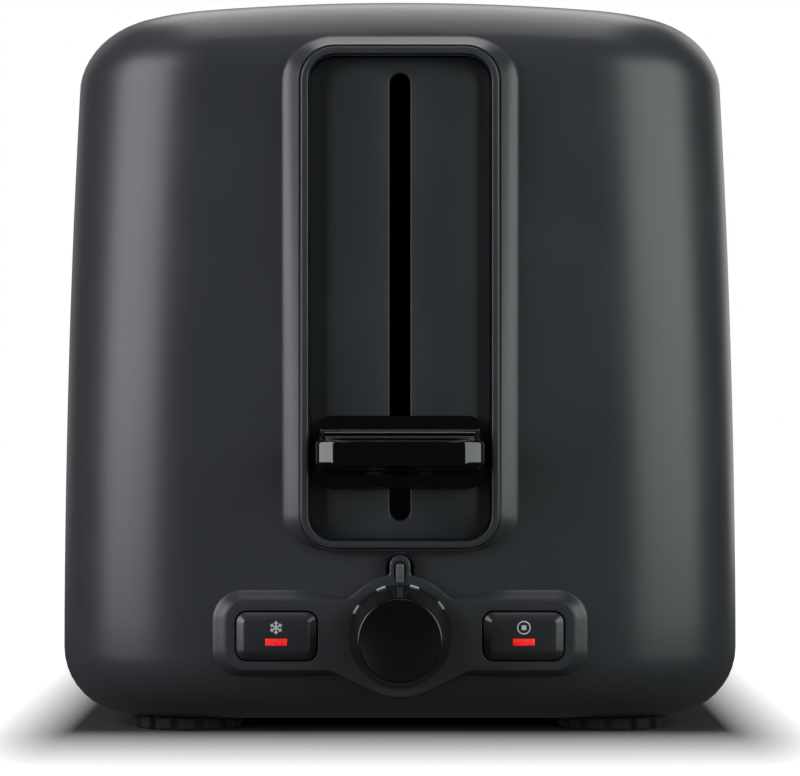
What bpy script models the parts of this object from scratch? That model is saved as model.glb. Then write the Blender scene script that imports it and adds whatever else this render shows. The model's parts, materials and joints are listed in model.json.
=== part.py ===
"""Two-slot pop-up toaster: moulded housing, toasting chassis, lift carriage, controls and crumb tray.

Metres, +Z up. The origin is on the floor, under the middle of the whole toaster's box, and the lever end
faces -Y. The carriage is modelled latched down, with the bread guides closed on the bread.
"""

import math

import bmesh
import bpy
from mathutils import Matrix, Vector

MM = 0.001

# ---- Driving dimensions -------------------------------------------------------------------------

BODY_WIDTH = 185 * MM
BODY_HEIGHT = 197 * MM
BODY_LENGTH = 280 * MM
LEVER_REACH = 24 * MM  # from the front face to the front of the lever's grip bar
FLOOR_GAP = 3.4 * MM  # housing's lower edge above the floor

WALL = 2.5 * MM
SHEET = 1.0 * MM  # chassis steel, with its stiffening flanges folded in
GAP = 0.3 * MM  # between two pieces that touch

END_CORNER = 37 * MM  # plan radius of the four upright corners
TOP_EDGE = 19.5 * MM
BOTTOM_EDGE = 18 * MM
SIDE_DRAFT = 4.1 * MM  # how far each side leans in by the top
END_DRAFT = 2.2 * MM  # the same at the front and the rear
DRAFT_POWER = 1.8
TOP_CROWN = 4 * MM

CONTROL_BAY = 60 * MM  # from the front face to the front chassis plate
REAR_BAY = 60 * MM
SLOT_WIDTH = 32 * MM
SLOT_BRIDGE = 22 * MM  # between the two slots
SLOT_CORNER = 6 * MM
TOP_MARGIN = 11 * MM  # slot frame outside the slots, across
TOP_END_MARGIN = 10 * MM  # slot frame beyond the slots, along
OPENING_CORNER = 8 * MM
TOP_RECESS = 3.2 * MM  # slot frame's face under the crown
SLOT_LIP = 11 * MM

LEVER_FRAME_WIDTH = 48.7 * MM
LEVER_FRAME_BOTTOM = 52 * MM
LEVER_FRAME_DROP = 15.5 * MM  # its opening's top under the crown
LEVER_FRAME_CORNER = 6 * MM
LEVER_FRAME_RIM = 2 * MM
LEVER_FRAME_PROUD = 3.5 * MM
LEVER_FLANK = 5.3 * MM
LEVER_SLOT_WIDTH = 6 * MM
LEVER_SLOT_END = 5 * MM  # from the slot's end to the frame

CONTROL_Z = 26.9 * MM
CONTROL_MARGIN = 2.8 * MM  # control panel beyond its buttons
CONTROL_CORNER = 5 * MM
CONTROL_PROUD = 3 * MM
CONTROL_FLANK = 3.5 * MM
DIAL_BOSS_RADIUS = 15.9 * MM
INDEX_Z = 44.5 * MM
INDEX_RADIUS = 2.6 * MM
INDEX_BAR_WIDTH = 2 * MM
PAD_BACKING = 2.5 * MM  # how far the pads behind the frame and controls stand in from the leaning wall

DIAL_RADIUS = 13.6 * MM
DIAL_FRONT_RADIUS = 12.2 * MM
DIAL_DISH_RADIUS = 10.6 * MM
DIAL_LENGTH = 17.5 * MM
SHAFT_RADIUS = 3 * MM

BUTTON_X = 32.7 * MM
BUTTON_WIDTH = 21.3 * MM
BUTTON_HEIGHT = 12.7 * MM
BUTTON_CORNER = 2.8 * MM
BUTTON_CHAMFER = 1.9 * MM
BUTTON_PROUD = 1.7 * MM
BUTTON_GAP = 0.35 * MM
BUTTON_TRAVEL = 1.5 * MM
LENS_WIDTH = 5.7 * MM
LENS_HEIGHT = 1.8 * MM
LENS_DROP = 1.5 * MM

LEVER_Z = 75.5 * MM
LEVER_WIDTH = 43.8 * MM
LEVER_HEIGHT = 19.4 * MM
LEVER_PLATE = 4.2 * MM
LEVER_CORNER = 3.9 * MM
LEVER_ROOT_HEIGHT = 12 * MM
LEVER_BAR_HEIGHT = 6.4 * MM
LEVER_BAR_DEPTH = 5 * MM
LEVER_BAR_CORNER = 4.6 * MM
LEVER_HEADROOM = 4.3 * MM  # left over the lever at the top of its travel
ARM_THICKNESS = 3 * MM
ARM_HEIGHT = 8 * MM

BREAD_REST = 46 * MM  # height of the bread supports, latched down
GUIDE_WIRE = 2 * MM
GUIDE_GAP = 18 * MM  # between the closed guides' centre lines
GUIDE_TRAVEL = 8.5 * MM
GUIDE_TO_HEATER = 4.5 * MM
HEATER_TO_SHIELD = 8 * MM
SHIELD_LIP = 7 * MM
RIBBON_WIDTH = 2.2 * MM
RIBBON_THICKNESS = 0.4 * MM
RIBBON_RUNS = 9
CHASSIS_END = 6 * MM  # from a slot's end to the chassis plate

CHASSIS_LEG = 12 * MM  # width of the chassis plates' legs, outside the tray
TRAY_SIDE_ROOM = 2 * MM
TRAY_FLOOR_Z = 9 * MM
TRAY_DEPTH = 7 * MM
TRAY_HANDLE_HEIGHT = 15 * MM

FOOT_RADIUS = 15 * MM
FOOT_SIDE_INSET = 34.3 * MM  # from the body's side to the foot's centre
FOOT_FRONT_INSET = 30 * MM
FOOT_REAR_INSET = 48 * MM  # clear of the crumb tray's handle
BASE_THICKNESS = 2.2 * MM
SCREW_RADIUS = 1.5 * MM
SCREW_HEAD_RADIUS = 3 * MM
SCREW_FROM_TRAY = 8.5 * MM  # screw posts clear of the rib that guides the tray
SCREW_FRONT_INSET = 52 * MM
SCREW_REAR_INSET = 27 * MM
BOSS_RADIUS = 4 * MM

BOARD_BOTTOM = 10 * MM
BOARD_HEIGHT = 33 * MM
BOARD_THICKNESS = 1.6 * MM
BOARD_BEHIND_FRONT = 22 * MM

SPRING_RADIUS = 3.6 * MM
SPRING_WIRE = 0.9 * MM
SPRING_TURNS = 17
ROD_RADIUS = 2 * MM
ROD_X = 37 * MM
ROD_BOTTOM = 20 * MM
CORD_HOLE_RADIUS = 4.1 * MM
GLAND_X = 46 * MM
GLAND_Z = 33 * MM
SUPPORT_WIDTH = 12 * MM
SUPPORT_TAB = 4 * MM
SUPPORT_THICKNESS = 2 * MM

# ---- Places worked out from them ----------------------------------------------------------------

FRONT_Y = -(BODY_LENGTH + LEVER_REACH) / 2 + LEVER_REACH
REAR_Y = FRONT_Y + BODY_LENGTH
MID_Y = (FRONT_Y + REAR_Y) / 2
HALF_WIDTH = BODY_WIDTH / 2

FRAME_TOP = BODY_HEIGHT - LEVER_FRAME_DROP
FRAME_Z = (FRAME_TOP + LEVER_FRAME_BOTTOM) / 2
FRAME_HEIGHT = FRAME_TOP - LEVER_FRAME_BOTTOM
PAD_Y = FRONT_Y + END_DRAFT + WALL + PAD_BACKING
PANEL_FACE_Y = FRONT_Y + WALL + GAP  # the lever panel's face, at the bottom of its recess
CONTROL_FACE_Y = FRONT_Y - CONTROL_PROUD
CONTROL_HALF_WIDTH = BUTTON_X + BUTTON_WIDTH / 2 + CONTROL_MARGIN
CONTROL_HALF_HEIGHT = BUTTON_HEIGHT / 2 + CONTROL_MARGIN
LEVER_FRONT_Y = FRONT_Y - LEVER_REACH
LEVER_BACK_Y = PANEL_FACE_Y - 0.6 * MM
LEVER_PLATE_Y = LEVER_BACK_Y - LEVER_PLATE
CARRIAGE_TRAVEL = FRAME_TOP - LEVER_HEADROOM - LEVER_Z - LEVER_HEIGHT / 2

CHASSIS_FRONT_Y = FRONT_Y + CONTROL_BAY
CHASSIS_REAR_Y = REAR_Y - REAR_BAY
CHASSIS_MID_Y = (CHASSIS_FRONT_Y + CHASSIS_REAR_Y) / 2
SLOT_LENGTH = CHASSIS_REAR_Y - CHASSIS_FRONT_Y - 2 * CHASSIS_END
SLOT_X = (SLOT_BRIDGE + SLOT_WIDTH) / 2
OPENING_HALF_WIDTH = SLOT_X + SLOT_WIDTH / 2 + TOP_MARGIN
OPENING_HALF_LENGTH = SLOT_LENGTH / 2 + TOP_END_MARGIN
TOP_FACE_Z = BODY_HEIGHT - TOP_RECESS
LIP_Z = TOP_FACE_Z - SLOT_LIP

CHASSIS_TOP = LIP_Z - 4 * MM
GUIDE_BOTTOM = BREAD_REST + 5 * MM
GUIDE_TOP = CHASSIS_TOP - 8 * MM
GUIDE_CLOSED = GUIDE_GAP / 2
HEATER_OFFSET = GUIDE_CLOSED + GUIDE_TRAVEL + GUIDE_TO_HEATER
SHIELD_X = SLOT_X + HEATER_OFFSET + HEATER_TO_SHIELD
LEG_OUTER = SHIELD_X + SHIELD_LIP + 2 * MM
LEG_INNER = LEG_OUTER - CHASSIS_LEG
TRAY_WIDTH = 2 * (LEG_INNER - TRAY_SIDE_ROOM)
TRAY_HALF = TRAY_WIDTH / 2 - 0.5 * MM
TRAY_FRONT_Y = CHASSIS_FRONT_Y + 4 * MM
TRAY_REAR_Y = REAR_Y - BOTTOM_EDGE - 3 * MM
TRAY_TOP = TRAY_FLOOR_Z + TRAY_DEPTH
CHASSIS_SKIRT = TRAY_TOP + 2 * MM

BASE_BOTTOM = FLOOR_GAP + 0.1 * MM
BASE_TOP = BASE_BOTTOM + BASE_THICKNESS
BASE_EDGE_INSET = BOTTOM_EDGE + 0.4 * MM
FOOT_TOP = BASE_BOTTOM - GAP
FOOT_X = HALF_WIDTH - FOOT_SIDE_INSET
SCREW_X = TRAY_HALF + SCREW_FROM_TRAY
SCREW_Y = {"front": FRONT_Y + SCREW_FRONT_INSET, "rear": REAR_Y - SCREW_REAR_INSET}

BOARD_Y = FRONT_Y + BOARD_BEHIND_FRONT
BOARD_TOP = BOARD_BOTTOM + BOARD_HEIGHT
BOARD_BACK_Y = BOARD_Y + BOARD_THICKNESS + GAP
POST_X = CONTROL_HALF_WIDTH + 2.8 * MM
POST_Z = BOARD_TOP - 5 * MM
BOARD_HALF_WIDTH = POST_X + 5 * MM
SWITCH_Y = BOARD_Y - GAP - 4 * MM
LENS_Z = CONTROL_Z - LENS_DROP
BRACKET_Y = CHASSIS_FRONT_Y - 6 * MM  # rear face of the carriage bracket
ROD_Y = BRACKET_Y - 6 * MM
EAR_X = ROD_X + 6 * MM
BRACKET_BOTTOM = BREAD_REST - 2 * MM
BRACKET_TOP = LEVER_Z + ARM_HEIGHT / 2 + 4 * MM
SPRING_X = -15 * MM
SPRING_TOP = CHASSIS_TOP - SHEET - GAP
SPRING_BOTTOM = BREAD_REST + 4 * MM
MAGNET_X = 24 * MM
MAGNET_Y = BRACKET_Y - 18 * MM
MAGNET_TOP = BREAD_REST - 2.5 * MM

SIDES = {"left": -1, "right": 1}


# ---- Modelling tools ----------------------------------------------------------------------------


def clear_scene():
    for obj in list(bpy.data.objects):
        bpy.data.objects.remove(obj)


def collection(name):
    made = bpy.data.collections.new(name)
    bpy.context.scene.collection.children.link(made)
    return made


def material(name, colour, roughness, metallic=0.0):
    made = bpy.data.materials.new(name)
    made.use_nodes = True
    shader = made.node_tree.nodes["Principled BSDF"]
    shader.inputs["Base Color"].default_value = (*colour, 1)
    shader.inputs["Roughness"].default_value = roughness
    shader.inputs["Metallic"].default_value = metallic
    return made


def add_object(name, mesh_data, finish, smooth=True):
    """An object in the toaster's collection from a bmesh, which is freed."""
    mesh = bpy.data.meshes.new(name)
    mesh_data.to_mesh(mesh)
    mesh_data.free()
    mesh.materials.append(finish)
    if smooth:
        mesh.shade_smooth()
        mesh.set_sharp_from_angle(angle=math.radians(35))
    obj = bpy.data.objects.new(name, mesh)
    TOASTER.objects.link(obj)
    return obj


def add_box(mesh_data, low, high):
    """A closed box between two corners."""
    low, high = Vector(low), Vector(high)
    size = Matrix.Diagonal((*(high - low), 1))
    bmesh.ops.create_cube(mesh_data, size=1, matrix=Matrix.Translation((low + high) / 2) @ size)


def boxes(name, corners, finish):
    """One object of separate boxes. More than one body is only for cutters."""
    mesh_data = bmesh.new()
    for low, high in corners:
        add_box(mesh_data, low, high)
    return add_object(name, mesh_data, finish, smooth=False)


def box(name, low, high, finish):
    return boxes(name, [(low, high)], finish)


def cylinder(name, radius, start, end, finish, segments=24):
    """A round bar between two points."""
    start, end = Vector(start), Vector(end)
    along = end - start
    place = Matrix.Translation((start + end) / 2) @ along.to_track_quat("Z", "Y").to_matrix().to_4x4()
    mesh_data = bmesh.new()
    bmesh.ops.create_cone(
        mesh_data,
        cap_ends=True,
        segments=segments,
        radius1=radius,
        radius2=radius,
        depth=along.length,
        matrix=place,
    )
    return add_object(name, mesh_data, finish)


def rounded_rectangle(half_width, half_height, radius, steps=4, centre=(0, 0)):
    """Outline points, anticlockwise from the right-hand side's lower end."""
    points = []
    for quarter, (sign_a, sign_b) in enumerate([(1, 1), (-1, 1), (-1, -1), (1, -1)]):
        for step in range(steps + 1):
            angle = math.radians(90 * (quarter + step / steps))
            points.append(
                (
                    centre[0] + sign_a * (half_width - radius) + radius * math.cos(angle),
                    centre[1] + sign_b * (half_height - radius) + radius * math.sin(angle),
                )
            )
    return points


def circle(radius, segments, centre=(0, 0)):
    turns = [2 * math.pi * step / segments for step in range(segments)]
    return [(centre[0] + radius * math.cos(t), centre[1] + radius * math.sin(t)) for t in turns]


def on_plane(axis, point, offset):
    """A 2D outline point at an offset along an axis: X takes (y, z), Y takes (x, z) and Z takes (x, y)."""
    first, second = point
    return {"X": (offset, first, second), "Y": (first, offset, second), "Z": (first, second, offset)}[axis]


def prism(name, outline, axis, low, high, finish):
    """A flat outline extruded from low to high along an axis."""
    mesh_data = bmesh.new()
    face = mesh_data.faces.new([mesh_data.verts.new(on_plane(axis, p, low)) for p in outline])
    extruded = bmesh.ops.extrude_face_region(mesh_data, geom=[face])["geom"]
    moved = [v for v in extruded if isinstance(v, bmesh.types.BMVert)]
    bmesh.ops.translate(mesh_data, verts=moved, vec=Vector(on_plane(axis, (0, 0), high - low)))
    bmesh.ops.recalc_face_normals(mesh_data, faces=mesh_data.faces)
    return add_object(name, mesh_data, finish)


def loft(name, rings, finish, capped=True):
    """A skin through rings of the same number of points."""
    mesh_data = bmesh.new()
    loops = [[mesh_data.verts.new(point) for point in ring] for ring in rings]
    for lower, upper in zip(loops, loops[1:]):
        for i in range(len(lower)):
            j = (i + 1) % len(lower)
            mesh_data.faces.new((lower[i], lower[j], upper[j], upper[i]))
    if capped:
        mesh_data.faces.new(reversed(loops[0]))
        mesh_data.faces.new(loops[-1])
    bmesh.ops.recalc_face_normals(mesh_data, faces=mesh_data.faces)
    return add_object(name, mesh_data, finish)


def turned(name, profile, centre, finish, steps=40):
    """A profile of (radius, depth) points turned about a Y axis, depth running from the front to the back."""
    mesh_data = bmesh.new()
    verts = [mesh_data.verts.new((radius, 0, -depth)) for radius, depth in profile]
    for first, second in zip(verts, verts[1:]):
        mesh_data.edges.new((first, second))
    obj = add_object(name, mesh_data, finish)
    obj.location = centre
    obj.rotation_euler = (math.radians(90), 0, 0)
    screw = obj.modifiers.new("turned", "SCREW")
    screw.axis = "Z"
    screw.steps = screw.render_steps = steps
    screw.use_merge_vertices = True
    screw.merge_threshold = 0.00001
    return obj


def boolean(target, tool, operation):
    """Cuts a helper from the target, or joins it on, and hides the helper."""
    modifier = target.modifiers.new(f"{operation.lower()} {tool.name}", "BOOLEAN")
    modifier.operation = operation
    modifier.solver = "EXACT"
    modifier.object = tool
    tool.hide_render = True
    tool.display_type = "WIRE"
    TOASTER.objects.unlink(tool)
    HELPERS.objects.link(tool)


def cut(target, *tools):
    for tool in tools:
        boolean(target, tool, "DIFFERENCE")


def join(target, *tools):
    for tool in tools:
        boolean(target, tool, "UNION")


def solidify(obj, thickness):
    """Gives an open skin a wall on its inner side."""
    modifier = obj.modifiers.new("wall", "SOLIDIFY")
    modifier.thickness = thickness
    modifier.offset = -1
    modifier.use_even_offset = True
    modifier.use_quality_normals = True


def hang_on(name, axis_point, *pieces):
    """Parents moving pieces to an empty on their joint's axis, without moving them."""
    empty = bpy.data.objects.new(name, None)
    empty.location = axis_point
    empty.empty_display_size = 10 * MM
    TOASTER.objects.link(empty)
    for piece in pieces:
        piece.parent = empty
        piece.matrix_parent_inverse = Matrix.Translation(axis_point).inverted()


# ---- Housing and covers -------------------------------------------------------------------------


def lean(z):
    """Share of the walls' lean reached at a height: none at the bottom edge, all of it at the top edge."""
    start = FLOOR_GAP + BOTTOM_EDGE
    share = (z - start) / (BODY_HEIGHT - TOP_EDGE - start)
    return min(max(share, 0.0), 1.0) ** DRAFT_POWER


def crown_drop(x, z):
    """How far the crown falls away from the middle line, growing from half height to the top."""
    share = max(0.0, (z - BODY_HEIGHT / 2) / (BODY_HEIGHT / 2))
    across = x / (HALF_WIDTH - TOP_EDGE)
    return TOP_CROWN * across**2 * share**2


def end_edges_split(outline, pieces=6):
    """The same outline with its two straight end edges split, so that they can follow the crown."""
    points = []
    for index, point in enumerate(outline):
        start, end = Vector(point), Vector(outline[(index + 1) % len(outline)])
        points.append(point)
        if abs(end.y - start.y) < GAP / 1000 and abs(end.x - start.x) > END_CORNER / 2:
            points += [tuple(start.lerp(end, k / pieces)) for k in range(1, pieces)]
    return points


def crowned_ring(half_width, half_length, corner, middle_y, z):
    """A plan outline of the body at a height, bent to the crown."""
    outline = rounded_rectangle(half_width, half_length, corner, steps=6, centre=(0, middle_y))
    return [(x, y, z - crown_drop(x, z)) for x, y in end_edges_split(outline)]


def body_ring(z, edge_inset):
    """The body's outline at a height, drawn in by its top or bottom edge's rounding."""
    half_width = HALF_WIDTH - SIDE_DRAFT * lean(z) - edge_inset
    half_length = BODY_LENGTH / 2 - END_DRAFT * lean(z) - edge_inset
    return crowned_ring(half_width, half_length, END_CORNER - edge_inset, MID_Y, z)


def body_rings():
    """Rings from the lower edge, up the sides and over the top edge."""
    quarter = [math.radians(90 * step / 5) for step in range(6)]
    lower = FLOOR_GAP + BOTTOM_EDGE
    upper = BODY_HEIGHT - TOP_EDGE
    rings = [
        body_ring(lower - BOTTOM_EDGE * math.cos(a), BOTTOM_EDGE * (1 - math.sin(a))) for a in quarter
    ]
    rings += [body_ring(lower + (upper - lower) * share, 0.0) for share in (0.3, 0.55, 0.8)]
    rings += [body_ring(upper + TOP_EDGE * math.sin(a), TOP_EDGE * (1 - math.cos(a))) for a in quarter]
    return rings


def frame_outline(grow=0.0):
    return rounded_rectangle(
        LEVER_FRAME_WIDTH / 2 + grow,
        FRAME_HEIGHT / 2 + grow,
        LEVER_FRAME_CORNER + grow,
        centre=(0, FRAME_Z),
    )


def control_outline(grow_x=0.0, grow_z=0.0):
    return rounded_rectangle(
        CONTROL_HALF_WIDTH + grow_x,
        CONTROL_HALF_HEIGHT + grow_z,
        CONTROL_CORNER + grow_z,
        centre=(0, CONTROL_Z),
    )


def flank(name, outline, wide_outline, face_y):
    """The sloping sides of a raised pad, which widen towards the leaning wall that it stands on."""
    foot = [(x, FRONT_Y + 0.2 * MM + END_DRAFT * lean(z), z) for x, z in wide_outline]
    rings = [
        [on_plane("Y", point, face_y) for point in outline],
        foot,
        [(x, y + WALL / 2, z) for x, y, z in foot],
    ]
    return loft(name, rings, BODY_PLASTIC)


def lever_frame_pad():
    """The raised frame round the lever's recess. Its flank stops where the top edge rounds away."""
    rim_y = FRONT_Y - LEVER_FRAME_PROUD
    core = prism(
        "lever_frame_core", frame_outline(LEVER_FRAME_RIM), "Y", rim_y, PAD_Y, BODY_PLASTIC
    )
    low = LEVER_FRAME_BOTTOM - LEVER_FRAME_RIM
    high = FRAME_TOP - TOP_EDGE / 2
    half_width = LEVER_FRAME_WIDTH / 2 + LEVER_FRAME_RIM
    half_height = (high - low) / 2
    corner = LEVER_FRAME_CORNER + LEVER_FRAME_RIM
    centre = (0, (high + low) / 2)
    step = 0.4 * MM
    narrow = rounded_rectangle(half_width - step, half_height - step, corner, centre=centre)
    wide = rounded_rectangle(
        half_width + LEVER_FLANK,
        half_height + LEVER_FLANK / 2,
        corner + LEVER_FLANK / 2,
        centre=centre,
    )
    return core, flank("lever_frame_flank", narrow, wide, rim_y + step)


def control_pads():
    """The raised control panel: a bar, the dial's round boss and the index nose above it."""
    step = 0.4 * MM
    bar = prism("control_bar", control_outline(), "Y", CONTROL_FACE_Y, PAD_Y, BODY_PLASTIC)
    bar_flank = flank(
        "control_flank",
        control_outline(-step, -step),
        control_outline(CONTROL_FLANK, CONTROL_FLANK * 0.6),
        CONTROL_FACE_Y + step,
    )
    boss = cylinder(
        "dial_boss",
        DIAL_BOSS_RADIUS,
        (0, CONTROL_FACE_Y - 0.05 * MM, CONTROL_Z),
        (0, PAD_Y - 0.1 * MM, CONTROL_Z),
        BODY_PLASTIC,
        segments=36,
    )
    nose_foot = CONTROL_Z + DIAL_BOSS_RADIUS * 0.8
    round_end = circle(INDEX_RADIUS, 16, (0, INDEX_Z))
    nose_top = [point for point in round_end if point[1] > INDEX_Z - GAP / 100]
    nose = prism(
        "index_nose",
        [(-INDEX_RADIUS, nose_foot), (INDEX_RADIUS, nose_foot)] + nose_top,
        "Y",
        CONTROL_FACE_Y - 0.1 * MM,
        FRONT_Y + WALL / 2,
        BODY_PLASTIC,
    )
    index_bar = box(
        "index_bar",
        (-INDEX_BAR_WIDTH / 2, CONTROL_FACE_Y - 0.7 * MM, CONTROL_Z + DIAL_RADIUS + 0.5 * MM),
        (INDEX_BAR_WIDTH / 2, FRONT_Y, INDEX_Z + INDEX_RADIUS * 0.45),
        BODY_PLASTIC,
    )
    return bar, bar_flank, boss, nose, index_bar


def screw_places():
    """Name, X and Y of each base screw."""
    return [
        (f"{end}_{side}", sign * SCREW_X, y) for end, y in SCREW_Y.items() for side, sign in SIDES.items()
    ]


def screw_bosses():
    """Posts for the base screws, each with a web to its side wall, and posts for the control board."""
    made = []
    for name, x, y in screw_places():
        made.append(
            cylinder(f"boss_{name}", BOSS_RADIUS, (x, y, BASE_TOP + GAP), (x, y, 34 * MM), BODY_PLASTIC, 16)
        )
        wall_x = math.copysign(HALF_WIDTH - WALL / 2, x)
        made.append(
            box(
                f"web_{name}",
                (min(x, wall_x), y - 1 * MM, FLOOR_GAP + BOTTOM_EDGE),
                (max(x, wall_x), y + 1 * MM, 33 * MM),
                BODY_PLASTIC,
            )
        )
    for side, sign in SIDES.items():
        x = sign * POST_X
        start, end = (x, FRONT_Y + WALL / 2, POST_Z), (x, BOARD_Y - GAP, POST_Z)
        made.append(cylinder(f"post_{side}", BOSS_RADIUS, start, end, BODY_PLASTIC, 16))
    return made


def pilot_holes():
    """Holes in the posts for the base and board screws."""
    radius = SCREW_RADIUS + GAP
    made = [
        cylinder(f"pilot_{name}", radius, (x, y, 0), (x, y, 26 * MM), BODY_PLASTIC, 12)
        for name, x, y in screw_places()
    ]
    for side, sign in SIDES.items():
        x = sign * POST_X
        start, end = (x, BOARD_Y - 10 * MM, POST_Z), (x, BOARD_Y + 5 * MM, POST_Z)
        made.append(cylinder(f"pilot_board_{side}", radius, start, end, BODY_PLASTIC, 12))
    return made


def button_outline(sign, grow=0.0):
    return rounded_rectangle(
        BUTTON_WIDTH / 2 + grow,
        BUTTON_HEIGHT / 2 + grow,
        BUTTON_CORNER + grow,
        centre=(sign * BUTTON_X, CONTROL_Z),
    )


def tray_mouth(front_y):
    """Low and high corners of the opening for the crumb tray, from a depth to beyond the rear wall."""
    half = TRAY_WIDTH / 2 + GAP
    low = Vector((-half, front_y, FLOOR_GAP - 1 * MM))
    return low, Vector((half, REAR_Y + 5 * MM, FLOOR_GAP + TRAY_HANDLE_HEIGHT))


def make_housing():
    rings = body_rings()
    rings.append(
        crowned_ring(
            OPENING_HALF_WIDTH,
            OPENING_HALF_LENGTH,
            OPENING_CORNER,
            CHASSIS_MID_Y,
            BODY_HEIGHT - 0.2 * MM,
        )
    )
    housing = loft("housing", rings, BODY_PLASTIC, capped=False)
    solidify(housing, WALL)
    join(housing, *lever_frame_pad(), *control_pads(), *screw_bosses())
    front, behind_pads = FRONT_Y - 20 * MM, PAD_Y + 5 * MM
    lever_recess = prism("lever_recess", frame_outline(), "Y", front, behind_pads, BODY_PLASTIC)
    shaft_hole = cylinder(
        "shaft_hole",
        SHAFT_RADIUS + 1.2 * MM,
        (0, front, CONTROL_Z),
        (0, behind_pads, CONTROL_Z),
        BODY_PLASTIC,
    )
    button_holes = [
        prism(
            f"button_hole_{side}", button_outline(sign, BUTTON_GAP), "Y", front, behind_pads, BODY_PLASTIC
        )
        for side, sign in SIDES.items()
    ]
    tray_hole = box("tray_hole", *tray_mouth(REAR_Y - BOTTOM_EDGE - 10 * MM), BODY_PLASTIC)
    gland_hole = cylinder(
        "gland_hole",
        CORD_HOLE_RADIUS + 2.2 * MM,
        (GLAND_X, REAR_Y - 20 * MM, GLAND_Z),
        (GLAND_X, REAR_Y + 10 * MM, GLAND_Z),
        BODY_PLASTIC,
    )
    cut(housing, lever_recess, shaft_hole, *button_holes, *pilot_holes(), tray_hole, gland_hole)


def slot_outline(x, grow=0.0):
    return rounded_rectangle(
        SLOT_WIDTH / 2 + grow, SLOT_LENGTH / 2 + grow, SLOT_CORNER + grow, centre=(x, CHASSIS_MID_Y)
    )


def make_slot_frame():
    """The pressed steel top: two slots with lips turned down, and end flanges hooked in the chassis."""
    outline = rounded_rectangle(
        OPENING_HALF_WIDTH - WALL - GAP,
        OPENING_HALF_LENGTH - WALL - GAP,
        OPENING_CORNER - WALL,
        centre=(0, CHASSIS_MID_Y),
    )
    frame = prism("slot_frame", outline, "Z", TOP_FACE_Z - SHEET, TOP_FACE_Z, CHAMBER_STEEL)
    lip_top = TOP_FACE_Z - SHEET / 2
    for side, sign in SIDES.items():
        x = sign * SLOT_X
        join(frame, prism(f"slot_lip_{side}", slot_outline(x, SHEET), "Z", LIP_Z, lip_top, CHAMBER_STEEL))
    reach = SHEET / 2 + GAP
    for end, plate_y, inward in (("front", CHASSIS_FRONT_Y, 1), ("rear", CHASSIS_REAR_Y, -1)):
        near, far = plate_y + inward * reach, plate_y + inward * (reach + SHEET)
        join(
            frame,
            box(
                f"slot_flange_{end}",
                (-30 * MM, min(near, far), CHASSIS_TOP - 6 * MM),
                (30 * MM, max(near, far), lip_top),
                CHAMBER_STEEL,
            ),
        )
    for side, sign in SIDES.items():
        low, high = LIP_Z - 5 * MM, TOP_FACE_Z + 5 * MM
        cut(frame, prism(f"slot_hole_{side}", slot_outline(sign * SLOT_X), "Z", low, high, CHAMBER_STEEL))


def make_lever_panel():
    """The insert at the bottom of the lever's recess, with the long slot, and its flange behind the frame."""
    back = PAD_Y + GAP
    plate = prism("lever_panel", frame_outline(-GAP), "Y", PANEL_FACE_Y, back + 0.9 * MM, PANEL_PLASTIC)
    flange = prism(
        "lever_panel_flange", frame_outline(LEVER_FRAME_RIM), "Y", back, back + 1.5 * MM, PANEL_PLASTIC
    )
    slot = prism(
        "lever_slot",
        rounded_rectangle(
            LEVER_SLOT_WIDTH / 2,
            FRAME_HEIGHT / 2 - LEVER_SLOT_END,
            LEVER_SLOT_WIDTH / 2 - 0.01 * MM,
            centre=(0, FRAME_Z),
        ),
        "Y",
        FRONT_Y - 5 * MM,
        back + 5 * MM,
        PANEL_PLASTIC,
    )
    join(plate, flange)
    cut(plate, slot)


def foot_places():
    """Name, X and Y of each foot."""
    ends = {"front": FRONT_Y + FOOT_FRONT_INSET, "rear": REAR_Y - FOOT_REAR_INSET}
    return [(f"{end}_{side}", sign * FOOT_X, y) for end, y in ends.items() for side, sign in SIDES.items()]


def base_vents():
    """Seven slots on either side of the tray."""
    inner, outer = TRAY_WIDTH / 2 + 3 * MM, HALF_WIDTH - BASE_EDGE_INSET - 4 * MM
    corners = []
    for sign in SIDES.values():
        for row in range(-3, 4):
            y = MID_Y + row * 9 * MM
            left, right = sorted((sign * inner, sign * outer))
            corners.append(((left, y - 1.5 * MM, 0), (right, y + 1.5 * MM, 12 * MM)))
    return boxes("base_vents", corners, BASE_PLASTIC)


def tray_rails(notch_y):
    """Two ribs that the tray slides on and two that keep it straight."""
    low, rear = BASE_TOP - 0.5 * MM, notch_y - 2 * MM
    made = []
    for side, sign in SIDES.items():
        for kind, inner, outer, top in (
            ("rest", TRAY_HALF - 8 * MM, TRAY_HALF - 6 * MM, TRAY_FLOOR_Z - GAP),
            ("guide", TRAY_HALF + 0.4 * MM, TRAY_HALF + 1.9 * MM, TRAY_FLOOR_Z + 4 * MM),
        ):
            left, right = sorted((sign * inner, sign * outer))
            made.append(
                box(f"tray_{kind}_{side}", (left, TRAY_FRONT_Y, low), (right, rear, top), BASE_PLASTIC)
            )
    return made


def make_base():
    outline = rounded_rectangle(
        HALF_WIDTH - BASE_EDGE_INSET,
        BODY_LENGTH / 2 - BASE_EDGE_INSET,
        END_CORNER - BASE_EDGE_INSET,
        steps=6,
        centre=(0, MID_Y),
    )
    base = prism("base_plate", outline, "Z", BASE_BOTTOM, BASE_TOP, BASE_PLASTIC)
    notch_y = REAR_Y - BOTTOM_EDGE - 6 * MM
    join(base, *tray_rails(notch_y))
    holes = [
        cylinder(f"foot_hole_{name}", 3.4 * MM, (x, y, 0), (x, y, 12 * MM), BASE_PLASTIC, 16)
        for name, x, y in foot_places()
    ]
    holes += [
        cylinder(f"screw_hole_{name}", SCREW_RADIUS + GAP, (x, y, 0), (x, y, 12 * MM), BASE_PLASTIC, 12)
        for name, x, y in screw_places()
    ]
    cut(base, *holes, base_vents(), box("base_notch", *tray_mouth(notch_y), BASE_PLASTIC))


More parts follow.
